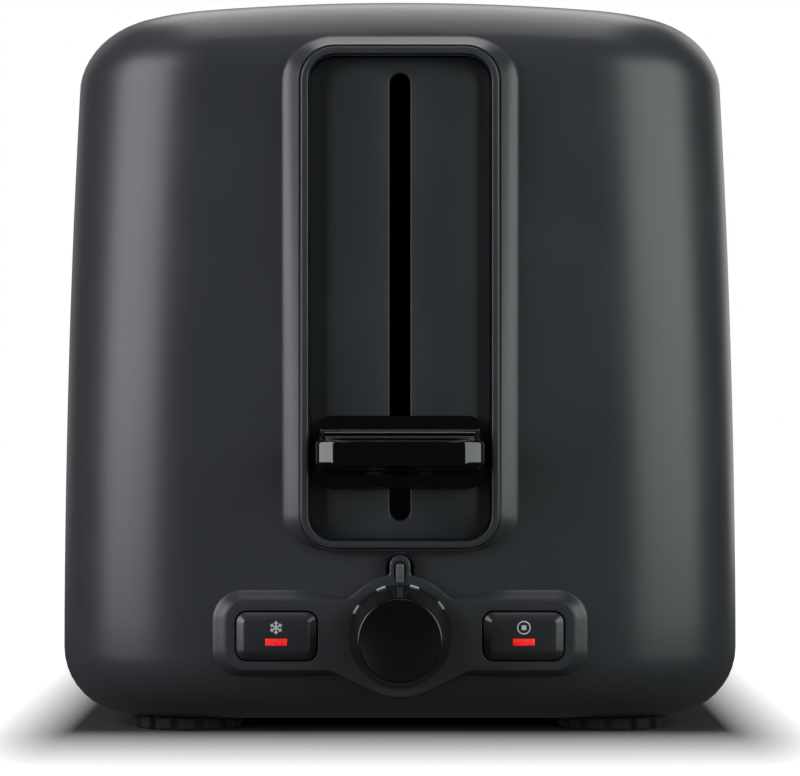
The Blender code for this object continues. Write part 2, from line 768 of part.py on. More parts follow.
def make_feet_and_base_screws():
    for name, x, y in foot_places():
        foot = cylinder(f"foot_{name}", FOOT_RADIUS, (x, y, 0), (x, y, FOOT_TOP), RUBBER, 30)
        stem_start, stem_end = (x, y, FOOT_TOP / 2), (x, y, BASE_TOP + 1.5 * MM)
        join(foot, cylinder(f"foot_stem_{name}", 3 * MM, stem_start, stem_end, RUBBER, 16))
    for name, x, y in screw_places():
        add_screw(f"base_screw_{name}", Vector((x, y, BASE_BOTTOM - GAP)), Vector((0, 0, 1)), 20 * MM)


def add_screw(name, under_head, direction, length):
    """A pan-head screw: its head lies behind the given point and its shank runs along the direction."""
    head = cylinder(name, SCREW_HEAD_RADIUS, under_head - direction * 2 * MM, under_head, ZINC, 16)
    start, end = under_head - direction * 1 * MM, under_head + direction * length
    join(head, cylinder(f"{name}_shank", SCREW_RADIUS, start, end, ZINC, 12))


def make_cord_gland():
    """A flanged bush in the rear wall, where the mains lead would enter."""
    inner_wall = REAR_Y - WALL
    spans = (
        ("cord_gland", CORD_HOLE_RADIUS + 1.8 * MM, inner_wall - 8 * MM, REAR_Y),
        ("gland_flange", CORD_HOLE_RADIUS + 4.5 * MM, inner_wall - 3 * MM, inner_wall - 0.6 * MM),
        ("cord_bore", CORD_HOLE_RADIUS, inner_wall - 20 * MM, REAR_Y + 10 * MM),
    )
    gland, flange, bore = [
        cylinder(name, radius, (GLAND_X, start, GLAND_Z), (GLAND_X, end, GLAND_Z), RUBBER)
        for name, radius, start, end in spans
    ]
    join(gland, flange)
    cut(gland, bore)


# ---- Chassis, heaters and guides ----------------------------------------------------------------


def card_positions():
    """Name, slot centre and outward sign of each heater card: each slot has one card on either side."""
    return [
        (f"{side}_{where}", sign * SLOT_X, sign * outward)
        for side, sign in SIDES.items()
        for where, outward in (("inner", -1), ("outer", 1))
    ]


def tab_heights():
    return (GUIDE_BOTTOM + 20 * MM, GUIDE_TOP - 24 * MM)


def pin_heights():
    return (GUIDE_BOTTOM + 4 * MM, GUIDE_TOP - 8 * MM)


def chassis_slots(y, name):
    """Cutter for one chassis plate: heater tabs, guide pins and the two bread supports."""
    front, back = y - SHEET, y + SHEET
    tab_half = (SHEET + 2 * GAP) / 2
    pin_half = GUIDE_WIRE / 2 + GAP
    support_half = SUPPORT_TAB / 2 + 1 * MM
    cuts = []
    for _, slot_x, outward in card_positions():
        card_x = slot_x + outward * HEATER_OFFSET
        for z in tab_heights():
            cuts.append(((card_x - tab_half, front, z - 6 * MM), (card_x + tab_half, back, z + 6 * MM)))
        ends = (GUIDE_CLOSED - GUIDE_WIRE, GUIDE_CLOSED + GUIDE_TRAVEL + GUIDE_WIRE)
        left, right = sorted(slot_x + outward * end for end in ends)
        for z in pin_heights():
            cuts.append(((left, front, z - pin_half), (right, back, z + pin_half)))
    for sign in SIDES.values():
        x = sign * SLOT_X
        top = BREAD_REST + CARRIAGE_TRAVEL + 5 * MM
        cuts.append(((x - support_half, front, BREAD_REST - 5 * MM), (x + support_half, back, top)))
    return boxes(name, cuts, CHAMBER_STEEL)


def rod_shelves():
    """Tabs bent forward from the front chassis plate, which hold the guide rods and the spring's hook."""
    front, back = ROD_Y - 5 * MM, CHASSIS_FRONT_Y
    top_low, top_high = (-EAR_X, front, CHASSIS_TOP - SHEET), (EAR_X, back, CHASSIS_TOP)
    shelves = [box("top_shelf", top_low, top_high, CHAMBER_STEEL)]
    low, high = ROD_BOTTOM + 1.5 * MM, ROD_BOTTOM + 1.5 * MM + SHEET
    for side, sign in SIDES.items():
        left, right = sorted((sign * (ROD_X - 6 * MM), sign * EAR_X))
        shelves.append(box(f"low_shelf_{side}", (left, front, low), (right, back, high), CHAMBER_STEEL))
    return shelves


def make_chassis():
    foot_z = BASE_TOP + GAP
    outline = [
        (-LEG_OUTER, foot_z),
        (-LEG_INNER, foot_z),
        (-LEG_INNER, CHASSIS_SKIRT),
        (LEG_INNER, CHASSIS_SKIRT),
        (LEG_INNER, foot_z),
        (LEG_OUTER, foot_z),
        (LEG_OUTER, CHASSIS_TOP),
        (-LEG_OUTER, CHASSIS_TOP),
    ]
    plates = [
        prism(name, outline, "Y", y - SHEET / 2, y + SHEET / 2, CHAMBER_STEEL)
        for name, y in (("chassis_front", CHASSIS_FRONT_Y), ("chassis_rear", CHASSIS_REAR_Y))
    ]
    join(plates[0], *rod_shelves())
    for side, sign in SIDES.items():
        x = sign * ROD_X
        start, end = (x, ROD_Y, ROD_BOTTOM - 5 * MM), (x, ROD_Y, CHASSIS_TOP + 5 * MM)
        cut(plates[0], cylinder(f"rod_clearance_{side}", ROD_RADIUS + GAP, start, end, CHAMBER_STEEL, 20))
    cut(plates[0], chassis_slots(CHASSIS_FRONT_Y, "front_plate_slots"))
    cut(plates[1], chassis_slots(CHASSIS_REAR_Y, "rear_plate_slots"))


def make_heat_shields():
    """Channels outside the outer heaters, with their lips turned away from the bread."""
    front = CHASSIS_FRONT_Y + SHEET / 2 + GAP
    rear = CHASSIS_REAR_Y - SHEET / 2 - GAP
    for side, sign in SIDES.items():
        web, inner, lip = [sign * (SHIELD_X + step) for step in (0, SHEET, SHIELD_LIP)]
        channel = [(web, front), (lip, front), (lip, front + SHEET), (inner, front + SHEET)]
        channel += [(inner, rear - SHEET), (lip, rear - SHEET), (lip, rear), (web, rear)]
        prism(f"heat_shield_{side}", channel, "Z", BASE_TOP + GAP, CHASSIS_TOP, CHAMBER_STEEL)


def make_heaters():
    """Mica cards with end tabs in the chassis plates, and a serpentine ribbon facing the bread."""
    inset, tab_reach, tab_half = SHEET, 2.5 * MM, 5 * MM
    front, rear = CHASSIS_FRONT_Y + inset, CHASSIS_REAR_Y - inset
    rear_edge, front_edge = [(rear, GUIDE_BOTTOM)], [(front, GUIDE_TOP)]
    for z in tab_heights():
        tip = CHASSIS_REAR_Y + tab_reach
        rear_edge += [(rear, z - tab_half), (tip, z - tab_half), (tip, z + tab_half), (rear, z + tab_half)]
    for z in reversed(tab_heights()):
        tip = CHASSIS_FRONT_Y - tab_reach
        front_edge += [(front, z + tab_half), (tip, z + tab_half), (tip, z - tab_half), (front, z - tab_half)]
    outline = rear_edge + [(rear, GUIDE_TOP)] + front_edge + [(front, GUIDE_BOTTOM)]
    margin = 8 * MM
    path = ribbon_path(front + margin, rear - margin, GUIDE_BOTTOM + margin, GUIDE_TOP - margin)
    ribbon = strip_outline(path, RIBBON_WIDTH)
    for name, slot_x, outward in card_positions():
        card_x = slot_x + outward * HEATER_OFFSET
        prism(f"heater_card_{name}", outline, "X", card_x - SHEET / 2, card_x + SHEET / 2, MICA)
        face_x = card_x - outward * (SHEET / 2 + 0.1 * MM)
        low, high = sorted((face_x, face_x - outward * RIBBON_THICKNESS))
        prism(f"heater_ribbon_{name}", ribbon, "X", low, high, NICHROME)


def ribbon_path(front_y, rear_y, low_z, high_z):
    """Corner points of a serpentine: runs along the card, joined at alternate ends."""
    points = []
    for run in range(RIBBON_RUNS):
        z = low_z + (high_z - low_z) * run / (RIBBON_RUNS - 1)
        ends = [(front_y, z), (rear_y, z)]
        points += ends if run % 2 == 0 else ends[::-1]
    return points


def strip_outline(path, width):
    """The outline of a flat strip with mitred corners that follows a path of right angles."""
    left, right = [], []
    last = len(path) - 1
    for index, point in enumerate(path):
        before, here, after = [Vector(path[max(0, min(last, index + k))]) for k in (-1, 0, 1)]
        ways = [way.normalized() for way in (here - before, after - here) if way.length > 0]
        across = sum((Vector((-way.y, way.x)) for way in ways), Vector((0, 0)))
        if len(ways) == 2 and ways[0].dot(ways[1]) > 0.5:
            across /= 2
        left.append(tuple(here + across * width / 2))
        right.append(tuple(here - across * width / 2))
    return left + right[::-1]


def make_bread_guides():
    """Four wire grids, one on each side of each slot, with pins that slide in the chassis plates."""
    clearance = SHEET / 2 + 3 * MM
    front, rear = CHASSIS_FRONT_Y + clearance, CHASSIS_REAR_Y - clearance
    uprights, rows = 8, 3
    for name, slot_x, outward in card_positions():
        x = slot_x + outward * GUIDE_CLOSED
        middle = Matrix.Translation((x, CHASSIS_MID_Y, (GUIDE_BOTTOM + GUIDE_TOP) / 2))
        size = Matrix.Diagonal((GUIDE_TOP - GUIDE_BOTTOM, rear - front, 1, 1)) * 0.5
        size[3][3] = 1
        grid = bmesh.new()
        bmesh.ops.create_grid(
            grid,
            x_segments=rows,
            y_segments=uprights,
            size=1,
            matrix=middle @ Matrix.Rotation(math.radians(90), 4, "Y") @ size,
        )
        guide = add_object(f"bread_guide_{name}", grid, CHROMED_WIRE, smooth=False)
        wires = guide.modifiers.new("wires", "WIREFRAME")
        wires.thickness = GUIDE_WIRE
        wires.use_boundary = True
        wires.use_even_offset = False
        for level, z in zip(("lower", "upper"), pin_heights()):
            for end, inside, outside in (
                ("front", front + 1 * MM, CHASSIS_FRONT_Y - 3 * MM),
                ("rear", rear - 1 * MM, CHASSIS_REAR_Y + 3 * MM),
            ):
                radius = GUIDE_WIRE / 2 - 0.05 * MM
                pin = cylinder(
                    f"pin_{name}_{level}_{end}", radius, (x, inside, z), (x, outside, z), CHROMED_WIRE, 8
                )
                join(guide, pin)
        hang_on(f"guide_slide_{name}", (x, CHASSIS_FRONT_Y, pin_heights()[0]), guide)


# ---- Lift carriage ------------------------------------------------------------------------------


def bracket_tabs(front):
    """The bracket's ears round the guide rods, its keeper tab and its spring tab."""
    made = []
    for side, sign in SIDES.items():
        left, right = sorted((sign * (ROD_X - 5 * MM), sign * EAR_X))
        for level, z in (("low", BRACKET_BOTTOM), ("high", BRACKET_TOP - 1.5 * MM)):
            low, high = (left, ROD_Y - 5 * MM, z), (right, front + 0.5 * MM, z + 1.5 * MM)
            made.append(box(f"ear_{level}_{side}", low, high, CHAMBER_STEEL))
    keeper_low = (MAGNET_X - 5 * MM, MAGNET_Y - 5 * MM, BREAD_REST + 1.6 * MM)
    keeper_high = (MAGNET_X + 5 * MM, front + 0.5 * MM, BREAD_REST + 3.1 * MM)
    made.append(box("keeper_tab", keeper_low, keeper_high, CHAMBER_STEEL))
    hook_low = (SPRING_X - 3 * MM, BRACKET_Y - 7 * MM, SPRING_BOTTOM - 2.2 * MM)
    hook_high = (SPRING_X + 3 * MM, front + 0.5 * MM, SPRING_BOTTOM - 0.8 * MM)
    made.append(box("spring_tab", hook_low, hook_high, CHAMBER_STEEL))
    return made


def make_bracket():
    """The carriage bracket: a plate with ears on the two guide rods."""
    front = BRACKET_Y - 1.5 * MM
    low, high = (-EAR_X, front, BRACKET_BOTTOM), (EAR_X, BRACKET_Y, BRACKET_TOP)
    plate = box("carriage_bracket", low, high, CHAMBER_STEEL)
    join(plate, *bracket_tabs(front))
    holes = []
    for side, sign in SIDES.items():
        x = sign * ROD_X
        start, end = (x, ROD_Y, BRACKET_BOTTOM - 10 * MM), (x, ROD_Y, BRACKET_TOP + 10 * MM)
        holes.append(cylinder(f"rod_hole_{side}", ROD_RADIUS + GAP, start, end, CHAMBER_STEEL, 20))
    start, end = (MAGNET_X, MAGNET_Y, BREAD_REST - 5 * MM), (MAGNET_X, MAGNET_Y, BREAD_REST + 10 * MM)
    holes.append(cylinder("keeper_hole", 2 * MM, start, end, CHAMBER_STEEL, 16))
    half_width, half_height = SUPPORT_TAB / 2 + GAP, SUPPORT_THICKNESS / 2 + GAP
    before, behind = front - 5 * MM, BRACKET_Y + 5 * MM
    slots = [
        (
            (sign * SLOT_X - half_width, before, BREAD_REST - half_height),
            (sign * SLOT_X + half_width, behind, BREAD_REST + half_height),
        )
        for sign in SIDES.values()
    ]
    half_width, half_height = ARM_THICKNESS / 2 + GAP, ARM_HEIGHT / 2 + GAP
    slots.append(((-half_width, before, LEVER_Z - half_height), (half_width, behind, LEVER_Z + half_height)))
    cut(plate, *holes, boxes("bracket_slots", slots, CHAMBER_STEEL))
    return plate


def make_bread_supports():
    """The two racks that the bread stands on. Each has a tab at either end, through the chassis plates."""
    front, rear = CHASSIS_FRONT_Y + SHEET / 2 + 4 * MM, CHASSIS_REAR_Y - SHEET / 2 - 4 * MM
    front_tip, rear_tip = BRACKET_Y - 2.5 * MM, CHASSIS_REAR_Y + 4 * MM
    wide, narrow = SUPPORT_WIDTH / 2, SUPPORT_TAB / 2
    teeth = 9
    pitch = (rear - front) / teeth
    toothed = []
    for tooth in range(teeth):
        for reach, share in ((wide, 0.15), (wide, 0.6), (narrow, 0.7), (narrow, 0.95)):
            toothed.append((reach, front + pitch * (tooth + share)))
    right = [(narrow, front_tip), (narrow, front), *toothed, (narrow, rear_tip)]
    outline = right + [(-reach, y) for reach, y in reversed(right)]
    low, high = BREAD_REST - SUPPORT_THICKNESS / 2, BREAD_REST + SUPPORT_THICKNESS / 2
    supports = []
    for side, sign in SIDES.items():
        placed = [(sign * SLOT_X + x, y) for x, y in outline]
        supports.append(prism(f"bread_support_{side}", placed, "Z", low, high, CHAMBER_STEEL))
    return supports


def lever_grip():
    """The grip bar and its web, which sweeps from the plate to the bar, with round plan corners."""
    root, bar = LEVER_ROOT_HEIGHT / 2, LEVER_BAR_HEIGHT / 2
    bar_back = LEVER_FRONT_Y + LEVER_BAR_DEPTH
    depth = LEVER_PLATE_Y - bar_back
    sweep = [(LEVER_PLATE_Y + 1 * MM, root), (LEVER_PLATE_Y, root)]
    for step in (1, 2, 3):
        rise = math.sin(math.radians(90 * step / 4))
        sweep.append((LEVER_PLATE_Y - depth * rise * 0.8, bar + (root - bar) * (1 - rise)))
    sweep += [(bar_back, bar), (LEVER_FRONT_Y, bar)]
    profile = [(y, LEVER_Z + z) for y, z in sweep] + [(y, LEVER_Z - z) for y, z in reversed(sweep)]
    half = LEVER_WIDTH / 2 - 0.1 * MM
    grip = prism("lever_grip", profile, "X", -half, half, GLOSS_PLASTIC)
    reach = 30 * MM
    plan_outline = rounded_rectangle(
        LEVER_WIDTH / 2, reach, LEVER_BAR_CORNER, centre=(0, LEVER_FRONT_Y + reach)
    )
    low, high = LEVER_Z - LEVER_HEIGHT, LEVER_Z + LEVER_HEIGHT
    boolean(grip, prism("lever_plan", plan_outline, "Z", low, high, GLOSS_PLASTIC), "INTERSECT")
    return grip


def make_lever():
    """The steel arm through the panel's slot, and the moulded lever on its end."""
    arm_end = LEVER_PLATE_Y - 8 * MM
    half_width, half_height = ARM_THICKNESS / 2, ARM_HEIGHT / 2
    arm = box(
        "lever_arm",
        (-half_width, arm_end, LEVER_Z - half_height),
        (half_width, BRACKET_Y + 1.5 * MM, LEVER_Z + half_height),
        ZINC,
    )
    plate = rounded_rectangle(LEVER_WIDTH / 2, LEVER_HEIGHT / 2, LEVER_CORNER, centre=(0, LEVER_Z))
    lever = prism("lever_knob", plate, "Y", LEVER_PLATE_Y, LEVER_BACK_Y, GLOSS_PLASTIC)
    join(lever, lever_grip())
    socket = box(
        "lever_socket",
        (-half_width - GAP, arm_end - GAP, LEVER_Z - half_height - GAP),
        (half_width + GAP, LEVER_BACK_Y + 5 * MM, LEVER_Z + half_height + GAP),
        GLOSS_PLASTIC,
    )
    cut(lever, socket)
    return arm, lever


def make_keeper():
    """The soft-iron keeper that the magnet holds, riveted under the bracket's tab."""
    half = 8 * MM
    keeper = box(
        "latch_keeper",
        (MAGNET_X - half, MAGNET_Y - half, MAGNET_TOP + GAP),
        (MAGNET_X + half, MAGNET_Y + half, BREAD_REST + 1.2 * MM),
        ZINC,
    )
    for name, radius, start, end in (
        ("keeper_stem", 1.6 * MM, BREAD_REST, BREAD_REST + 5 * MM),
        ("keeper_head", 3.2 * MM, BREAD_REST + 3.6 * MM, BREAD_REST + 5.2 * MM),
    ):
        join(keeper, cylinder(name, radius, (MAGNET_X, MAGNET_Y, start), (MAGNET_X, MAGNET_Y, end), ZINC, 12))
    return keeper


def make_carriage():
    """Everything that rises with the lever."""
    arm, lever = make_lever()
    pieces = [make_bracket(), make_keeper(), arm, lever, *make_bread_supports()]
    hang_on("carriage_slide", (0, ROD_Y, BREAD_REST), *pieces)


def make_return_spring():
    """An extension spring from the bracket's tab up to the chassis shelf, at its latched length."""
    per_turn = 8
    steps = SPRING_TURNS * per_turn
    low, high = SPRING_BOTTOM + SPRING_WIRE / 2, SPRING_TOP - SPRING_WIRE / 2
    centre_y = BRACKET_Y - 2.7 * MM - SPRING_RADIUS
    curve = bpy.data.curves.new("return_spring", "CURVE")
    curve.dimensions = "3D"
    curve.bevel_depth = SPRING_WIRE / 2
    curve.bevel_resolution = 1
    curve.use_fill_caps = True
    curve.materials.append(SPRING_STEEL)
    spline = curve.splines.new("POLY")
    spline.points.add(steps)
    for step in range(steps + 1):
        angle = 2 * math.pi * step / per_turn
        x = SPRING_X + SPRING_RADIUS * math.cos(angle)
        y = centre_y + SPRING_RADIUS * math.sin(angle)
        spline.points[step].co = (x, y, low + (high - low) * step / steps, 1)
    TOASTER.objects.link(bpy.data.objects.new("return_spring", curve))


def make_guide_rods():
    for side, sign in SIDES.items():
        x = sign * ROD_X
        start, end = (x, ROD_Y, ROD_BOTTOM), (x, ROD_Y, CHASSIS_TOP + 1.5 * MM)
        cylinder(f"guide_rod_{side}", ROD_RADIUS, start, end, ZINC, 16)


# ---- Controls -----------------------------------------------------------------------------------


def make_button(name, sign):
    """A button with a chamfered cap, a flange behind the panel, a stem to its switch and a lens."""
    x = sign * BUTTON_X
    cap_y, flange_y = CONTROL_FACE_Y - BUTTON_PROUD, PAD_Y + GAP
    inner, outer = button_outline(sign, -BUTTON_CHAMFER), button_outline(sign)
    rings = [[on_plane("Y", point, cap_y) for point in inner]]
    for y in (cap_y + BUTTON_PROUD * 0.8, flange_y + 0.5 * MM):
        rings.append([on_plane("Y", point, y) for point in outer])
    button = loft(f"{name}_button", rings, BUTTON_PLASTIC)
    half_width, half_height = BUTTON_WIDTH / 2 + 1.5 * MM, BUTTON_HEIGHT / 2 + 1.5 * MM
    flange = box(
        f"{name}_flange",
        (x - half_width, flange_y, CONTROL_Z - half_height),
        (x + half_width, flange_y + 1.5 * MM, CONTROL_Z + half_height),
        BUTTON_PLASTIC,
    )
    stem = box(
        f"{name}_stem",
        (x + 5 * MM, flange_y + 1 * MM, CONTROL_Z - 2 * MM),
        (x + 8 * MM, SWITCH_Y - BUTTON_TRAVEL - GAP, CONTROL_Z + 2 * MM),
        BUTTON_PLASTIC,
    )
    half_width, half_height = LENS_WIDTH / 2, LENS_HEIGHT / 2
    play = 0.15 * MM
    window = box(
        f"{name}_window",
        (x - half_width - play, cap_y - 5 * MM, LENS_Z - half_height - play),
        (x + half_width + play, BOARD_Y, LENS_Z + half_height + play),
        BUTTON_PLASTIC,
    )
    join(button, flange, stem)
    cut(button, window)
    lens = box(
        f"{name}_lens",
        (x - half_width, cap_y - 0.1 * MM, LENS_Z - half_height),
        (x + half_width, SWITCH_Y - BUTTON_TRAVEL - 1 * MM, LENS_Z + half_height),
        LENS_RED,
    )
    hang_on(f"{name}_press", (x, cap_y, CONTROL_Z), button, lens)


def make_switch_and_led(name, sign):
    """What one button acts on, on the board's front face."""
    x = sign * BUTTON_X
    back = BOARD_Y - GAP
    low, high = (x + 3.5 * MM, SWITCH_Y, CONTROL_Z - 3 * MM), (x + 9.5 * MM, back, CONTROL_Z + 3 * MM)
    box(f"{name}_switch", low, high, GLOSS_PLASTIC)
    cylinder(f"{name}_led", 1.5 * MM, (x, back - 3 * MM, LENS_Z), (x, back, LENS_Z), LENS_RED, 12)


def make_control_board():
    high = (BOARD_HALF_WIDTH, BOARD_Y + BOARD_THICKNESS, BOARD_TOP)
    board = box("control_board", (-BOARD_HALF_WIDTH, BOARD_Y, BOARD_BOTTOM), high, BOARD)
    for side, sign in SIDES.items():
        x = sign * POST_X
        start, end = (x, BOARD_Y - 5 * MM, POST_Z), (x, BOARD_Y + 8 * MM, POST_Z)
        cut(board, cylinder(f"board_hole_{side}", SCREW_RADIUS + GAP, start, end, BOARD, 12))
        add_screw(f"board_screw_{side}", Vector((x, BOARD_BACK_Y, POST_Z)), Vector((0, -1, 0)), 9 * MM)
    for name, sign in (("defrost", -1), ("stop", 1)):
        make_button(name, sign)
        make_switch_and_led(name, sign)


def make_browning_control():
    """The dial, its shaft and the potentiometer on the board."""
    half, pot_y = 8 * MM, BOARD_Y - GAP - 7 * MM
    high = (half, BOARD_Y - GAP, CONTROL_Z + half)
    box("browning_pot", (-half, pot_y, CONTROL_Z - half), high, BASE_PLASTIC)
    front_y = CONTROL_FACE_Y - 0.4 * MM - DIAL_LENGTH
    bottom = 5 * MM  # from the dial's front to the bottom of its bore
    start, end = (0, pot_y - GAP, CONTROL_Z), (0, front_y + bottom + GAP, CONTROL_Z)
    shaft = cylinder("browning_shaft", SHAFT_RADIUS, start, end, ZINC, 20)
    bore = SHAFT_RADIUS + 0.15 * MM
    profile = [
        (0, 2.2 * MM),
        (DIAL_DISH_RADIUS * 0.5, 1.7 * MM),
        (DIAL_DISH_RADIUS * 0.85, 0.8 * MM),
        (DIAL_DISH_RADIUS, 0),
        (DIAL_DISH_RADIUS + 0.7 * MM, 0),
        (DIAL_FRONT_RADIUS, 1 * MM),
        (DIAL_RADIUS, DIAL_LENGTH - 1 * MM),
        (DIAL_RADIUS, DIAL_LENGTH),
        (bore, DIAL_LENGTH),
        (bore, bottom),
        (0, bottom),
    ]
    dial = turned("browning_dial", profile, (0, front_y, CONTROL_Z), GLOSS_PLASTIC)
    hang_on("browning_turn", (0, CONTROL_FACE_Y, CONTROL_Z), dial, shaft)


def make_magnet():
    """The holding magnet on the board's back: a yoke with a leg and a post, and the coil on the post."""
    yoke_z = MAGNET_TOP - 27 * MM
    half = 7 * MM
    left, right = MAGNET_X - half, MAGNET_X + half
    yoke_high = (right, MAGNET_Y + half, yoke_z + 3 * MM)
    yoke = box("magnet_yoke", (left, BOARD_BACK_Y, yoke_z), yoke_high, ZINC)
    leg_high = (right, BOARD_BACK_Y + 2 * MM, yoke_z + 20 * MM)
    leg = box("magnet_leg", (left, BOARD_BACK_Y, yoke_z + 1 * MM), leg_high, ZINC)
    post_radius = 3.5 * MM
    start, end = (MAGNET_X, MAGNET_Y, yoke_z + 1 * MM), (MAGNET_X, MAGNET_Y, MAGNET_TOP)
    join(yoke, leg, cylinder("magnet_post", post_radius, start, end, ZINC, 20))
    start, end = (MAGNET_X, MAGNET_Y, yoke_z + 3 * MM + GAP), (MAGNET_X, MAGNET_Y, MAGNET_TOP - 3 * MM)
    coil = cylinder("magnet_coil", 8 * MM, start, end, COPPER)
    start, end = (MAGNET_X, MAGNET_Y, yoke_z), (MAGNET_X, MAGNET_Y, MAGNET_TOP + 5 * MM)
    cut(coil, cylinder("coil_bore", post_radius + GAP, start, end, COPPER, 20))


def make_mains_contacts():
    """The block on the board's back whose two spring leaves the carriage's ear closes when it is down."""
    half, block_top = 9 * MM, BREAD_REST - 12 * MM
    low = (-ROD_X - half, BOARD_BACK_Y, block_top - 16 * MM)
    box("contact_block", low, (-ROD_X + half, BOARD_BACK_Y + 12 * MM, block_top), BASE_PLASTIC)
    thickness = 0.6 * MM
    leaf_y, leaf_z = BOARD_BACK_Y + 3 * MM, BRACKET_BOTTOM - GAP - thickness / 2
    path = [(leaf_y, block_top + GAP), (leaf_y, leaf_z), (ROD_Y, leaf_z)]
    for name, offset in (("left", -4 * MM), ("right", 4 * MM)):
        x = -ROD_X + offset
        prism(
            f"contact_leaf_{name}", strip_outline(path, thickness), "X", x - 1.5 * MM, x + 1.5 * MM, COPPER
        )


# ---- Crumb tray ---------------------------------------------------------------------------------


def make_crumb_tray():
    """A folded steel pan on the base's rails, and the moulded handle that closes the rear wall."""
    low, high = (-TRAY_HALF, TRAY_FRONT_Y, TRAY_FLOOR_Z), (TRAY_HALF, TRAY_REAR_Y, TRAY_TOP)
    tray = box("crumb_tray", low, high, CHAMBER_STEEL)
    inside = box(
        "tray_inside",
        (-TRAY_HALF + SHEET, TRAY_FRONT_Y + SHEET, TRAY_FLOOR_Z + SHEET),
        (TRAY_HALF - SHEET, TRAY_REAR_Y - SHEET, TRAY_TOP + 5 * MM),
        CHAMBER_STEEL,
    )
    cut(tray, inside)
    mouth_low, mouth_high = tray_mouth(TRAY_REAR_Y + GAP)
    low = (mouth_low.x + 2 * GAP, mouth_low.y, BASE_BOTTOM)
    handle = box("tray_handle", low, (mouth_high.x - 2 * GAP, mouth_high.y, mouth_high.z - GAP), BODY_PLASTIC)
    boolean(handle, loft("tray_handle_shape", body_rings(), BODY_PLASTIC), "INTERSECT")
    grip = box(
        "tray_grip",
        (-30 * MM, REAR_Y - 30 * MM, 0),
        (30 * MM, REAR_Y - BOTTOM_EDGE / 2, BASE_BOTTOM + 5 * MM),
        BODY_PLASTIC,
    )
    cut(handle, grip)
    clip_y = TRAY_REAR_Y - SHEET - GAP
    clip_low, clip_high = TRAY_TOP + GAP, TRAY_TOP + 1.5 * MM
    half, hook_y = 40 * MM, clip_y - 1.5 * MM
    bar_high = (half, TRAY_REAR_Y + 2 * MM, clip_high)
    bar = box("tray_clip", (-half, hook_y, clip_low), bar_high, BODY_PLASTIC)
    hook_low = (-half, hook_y, TRAY_TOP - 3 * MM)
    hook = box("tray_hook", hook_low, (half, clip_y, clip_high), BODY_PLASTIC)
    join(handle, bar, hook)
    hang_on("crumb_tray_slide", (0, REAR_Y, TRAY_FLOOR_Z), tray, handle)


clear_scene()
TOASTER = collection("toaster")
HELPERS = collection("cutters")

BODY_PLASTIC = material("matt anthracite polypropylene", (0.022, 0.024, 0.026), 0.55)
PANEL_PLASTIC = material("satin anthracite panel", (0.018, 0.020, 0.022), 0.5)
GLOSS_PLASTIC = material("gloss black ABS", (0.004, 0.004, 0.005), 0.08)
BUTTON_PLASTIC = material("satin black button", (0.012, 0.013, 0.014), 0.3)
BASE_PLASTIC = material("black base plastic", (0.01, 0.01, 0.011), 0.6)
RUBBER = material("black rubber", (0.008, 0.008, 0.008), 0.8)
LENS_RED = material("red lens", (0.8, 0.02, 0.015), 0.2)
CHAMBER_STEEL = material("aluminised steel", (0.5, 0.5, 0.5), 0.35, 1.0)
CHROMED_WIRE = material("chromed wire", (0.6, 0.6, 0.6), 0.2, 1.0)
SPRING_STEEL = material("spring steel", (0.4, 0.4, 0.42), 0.3, 1.0)
ZINC = material("zinc-plated steel", (0.45, 0.45, 0.47), 0.35, 1.0)
MICA = material("mica card", (0.6, 0.52, 0.4), 0.6)
NICHROME = material("nichrome ribbon", (0.25, 0.22, 0.2), 0.4, 1.0)
COPPER = material("copper", (0.6, 0.27, 0.12), 0.35, 1.0)
BOARD = material("circuit board", (0.02, 0.12, 0.05), 0.5)

make_housing()
make_slot_frame()
make_lever_panel()
make_base()
make_feet_and_base_screws()
make_cord_gland()
make_chassis()
make_heat_shields()
make_heaters()
make_bread_guides()
make_carriage()
make_return_spring()
make_guide_rods()
make_control_board()
make_browning_control()
make_magnet()
make_mains_contacts()
make_crumb_tray()
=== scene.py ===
import json
import math

import bmesh
import bpy
from mathutils import Matrix, Vector


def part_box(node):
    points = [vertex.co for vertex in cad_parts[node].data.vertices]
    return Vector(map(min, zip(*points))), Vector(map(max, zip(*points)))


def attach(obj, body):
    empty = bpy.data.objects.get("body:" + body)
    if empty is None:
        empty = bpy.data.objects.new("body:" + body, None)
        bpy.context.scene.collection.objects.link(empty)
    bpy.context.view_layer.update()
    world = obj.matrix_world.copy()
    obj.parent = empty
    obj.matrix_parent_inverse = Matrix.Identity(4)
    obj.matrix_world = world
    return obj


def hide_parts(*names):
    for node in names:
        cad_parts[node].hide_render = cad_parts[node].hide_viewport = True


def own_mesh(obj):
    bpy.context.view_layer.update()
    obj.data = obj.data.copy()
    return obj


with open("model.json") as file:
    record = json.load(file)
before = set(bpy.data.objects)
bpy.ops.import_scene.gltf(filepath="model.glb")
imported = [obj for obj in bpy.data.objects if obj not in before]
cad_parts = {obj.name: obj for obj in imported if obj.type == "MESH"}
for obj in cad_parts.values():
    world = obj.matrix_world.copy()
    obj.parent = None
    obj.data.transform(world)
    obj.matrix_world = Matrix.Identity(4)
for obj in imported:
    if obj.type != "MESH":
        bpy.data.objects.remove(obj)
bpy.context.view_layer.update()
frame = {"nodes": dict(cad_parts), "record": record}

# A pop-up toaster seen from its lever end. Sizes are in millimetres until a piece is finished.
MM = 0.001

SLOT_OF = {part["node"]: part["material_slot"] for part in frame["record"]["subparts"]}


def box_mm(node):
    """Lowest and highest corner of a CAD node, in millimetres."""
    low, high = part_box(node)
    return low / MM, high / MM


# ---- Sizes that several pieces share ----

HOUSE_LOW, HOUSE_HIGH = box_mm("housing")
PANEL_LOW, PANEL_HIGH = box_mm("lever_panel")
DIAL_LOW, DIAL_HIGH = box_mm("browning_dial")

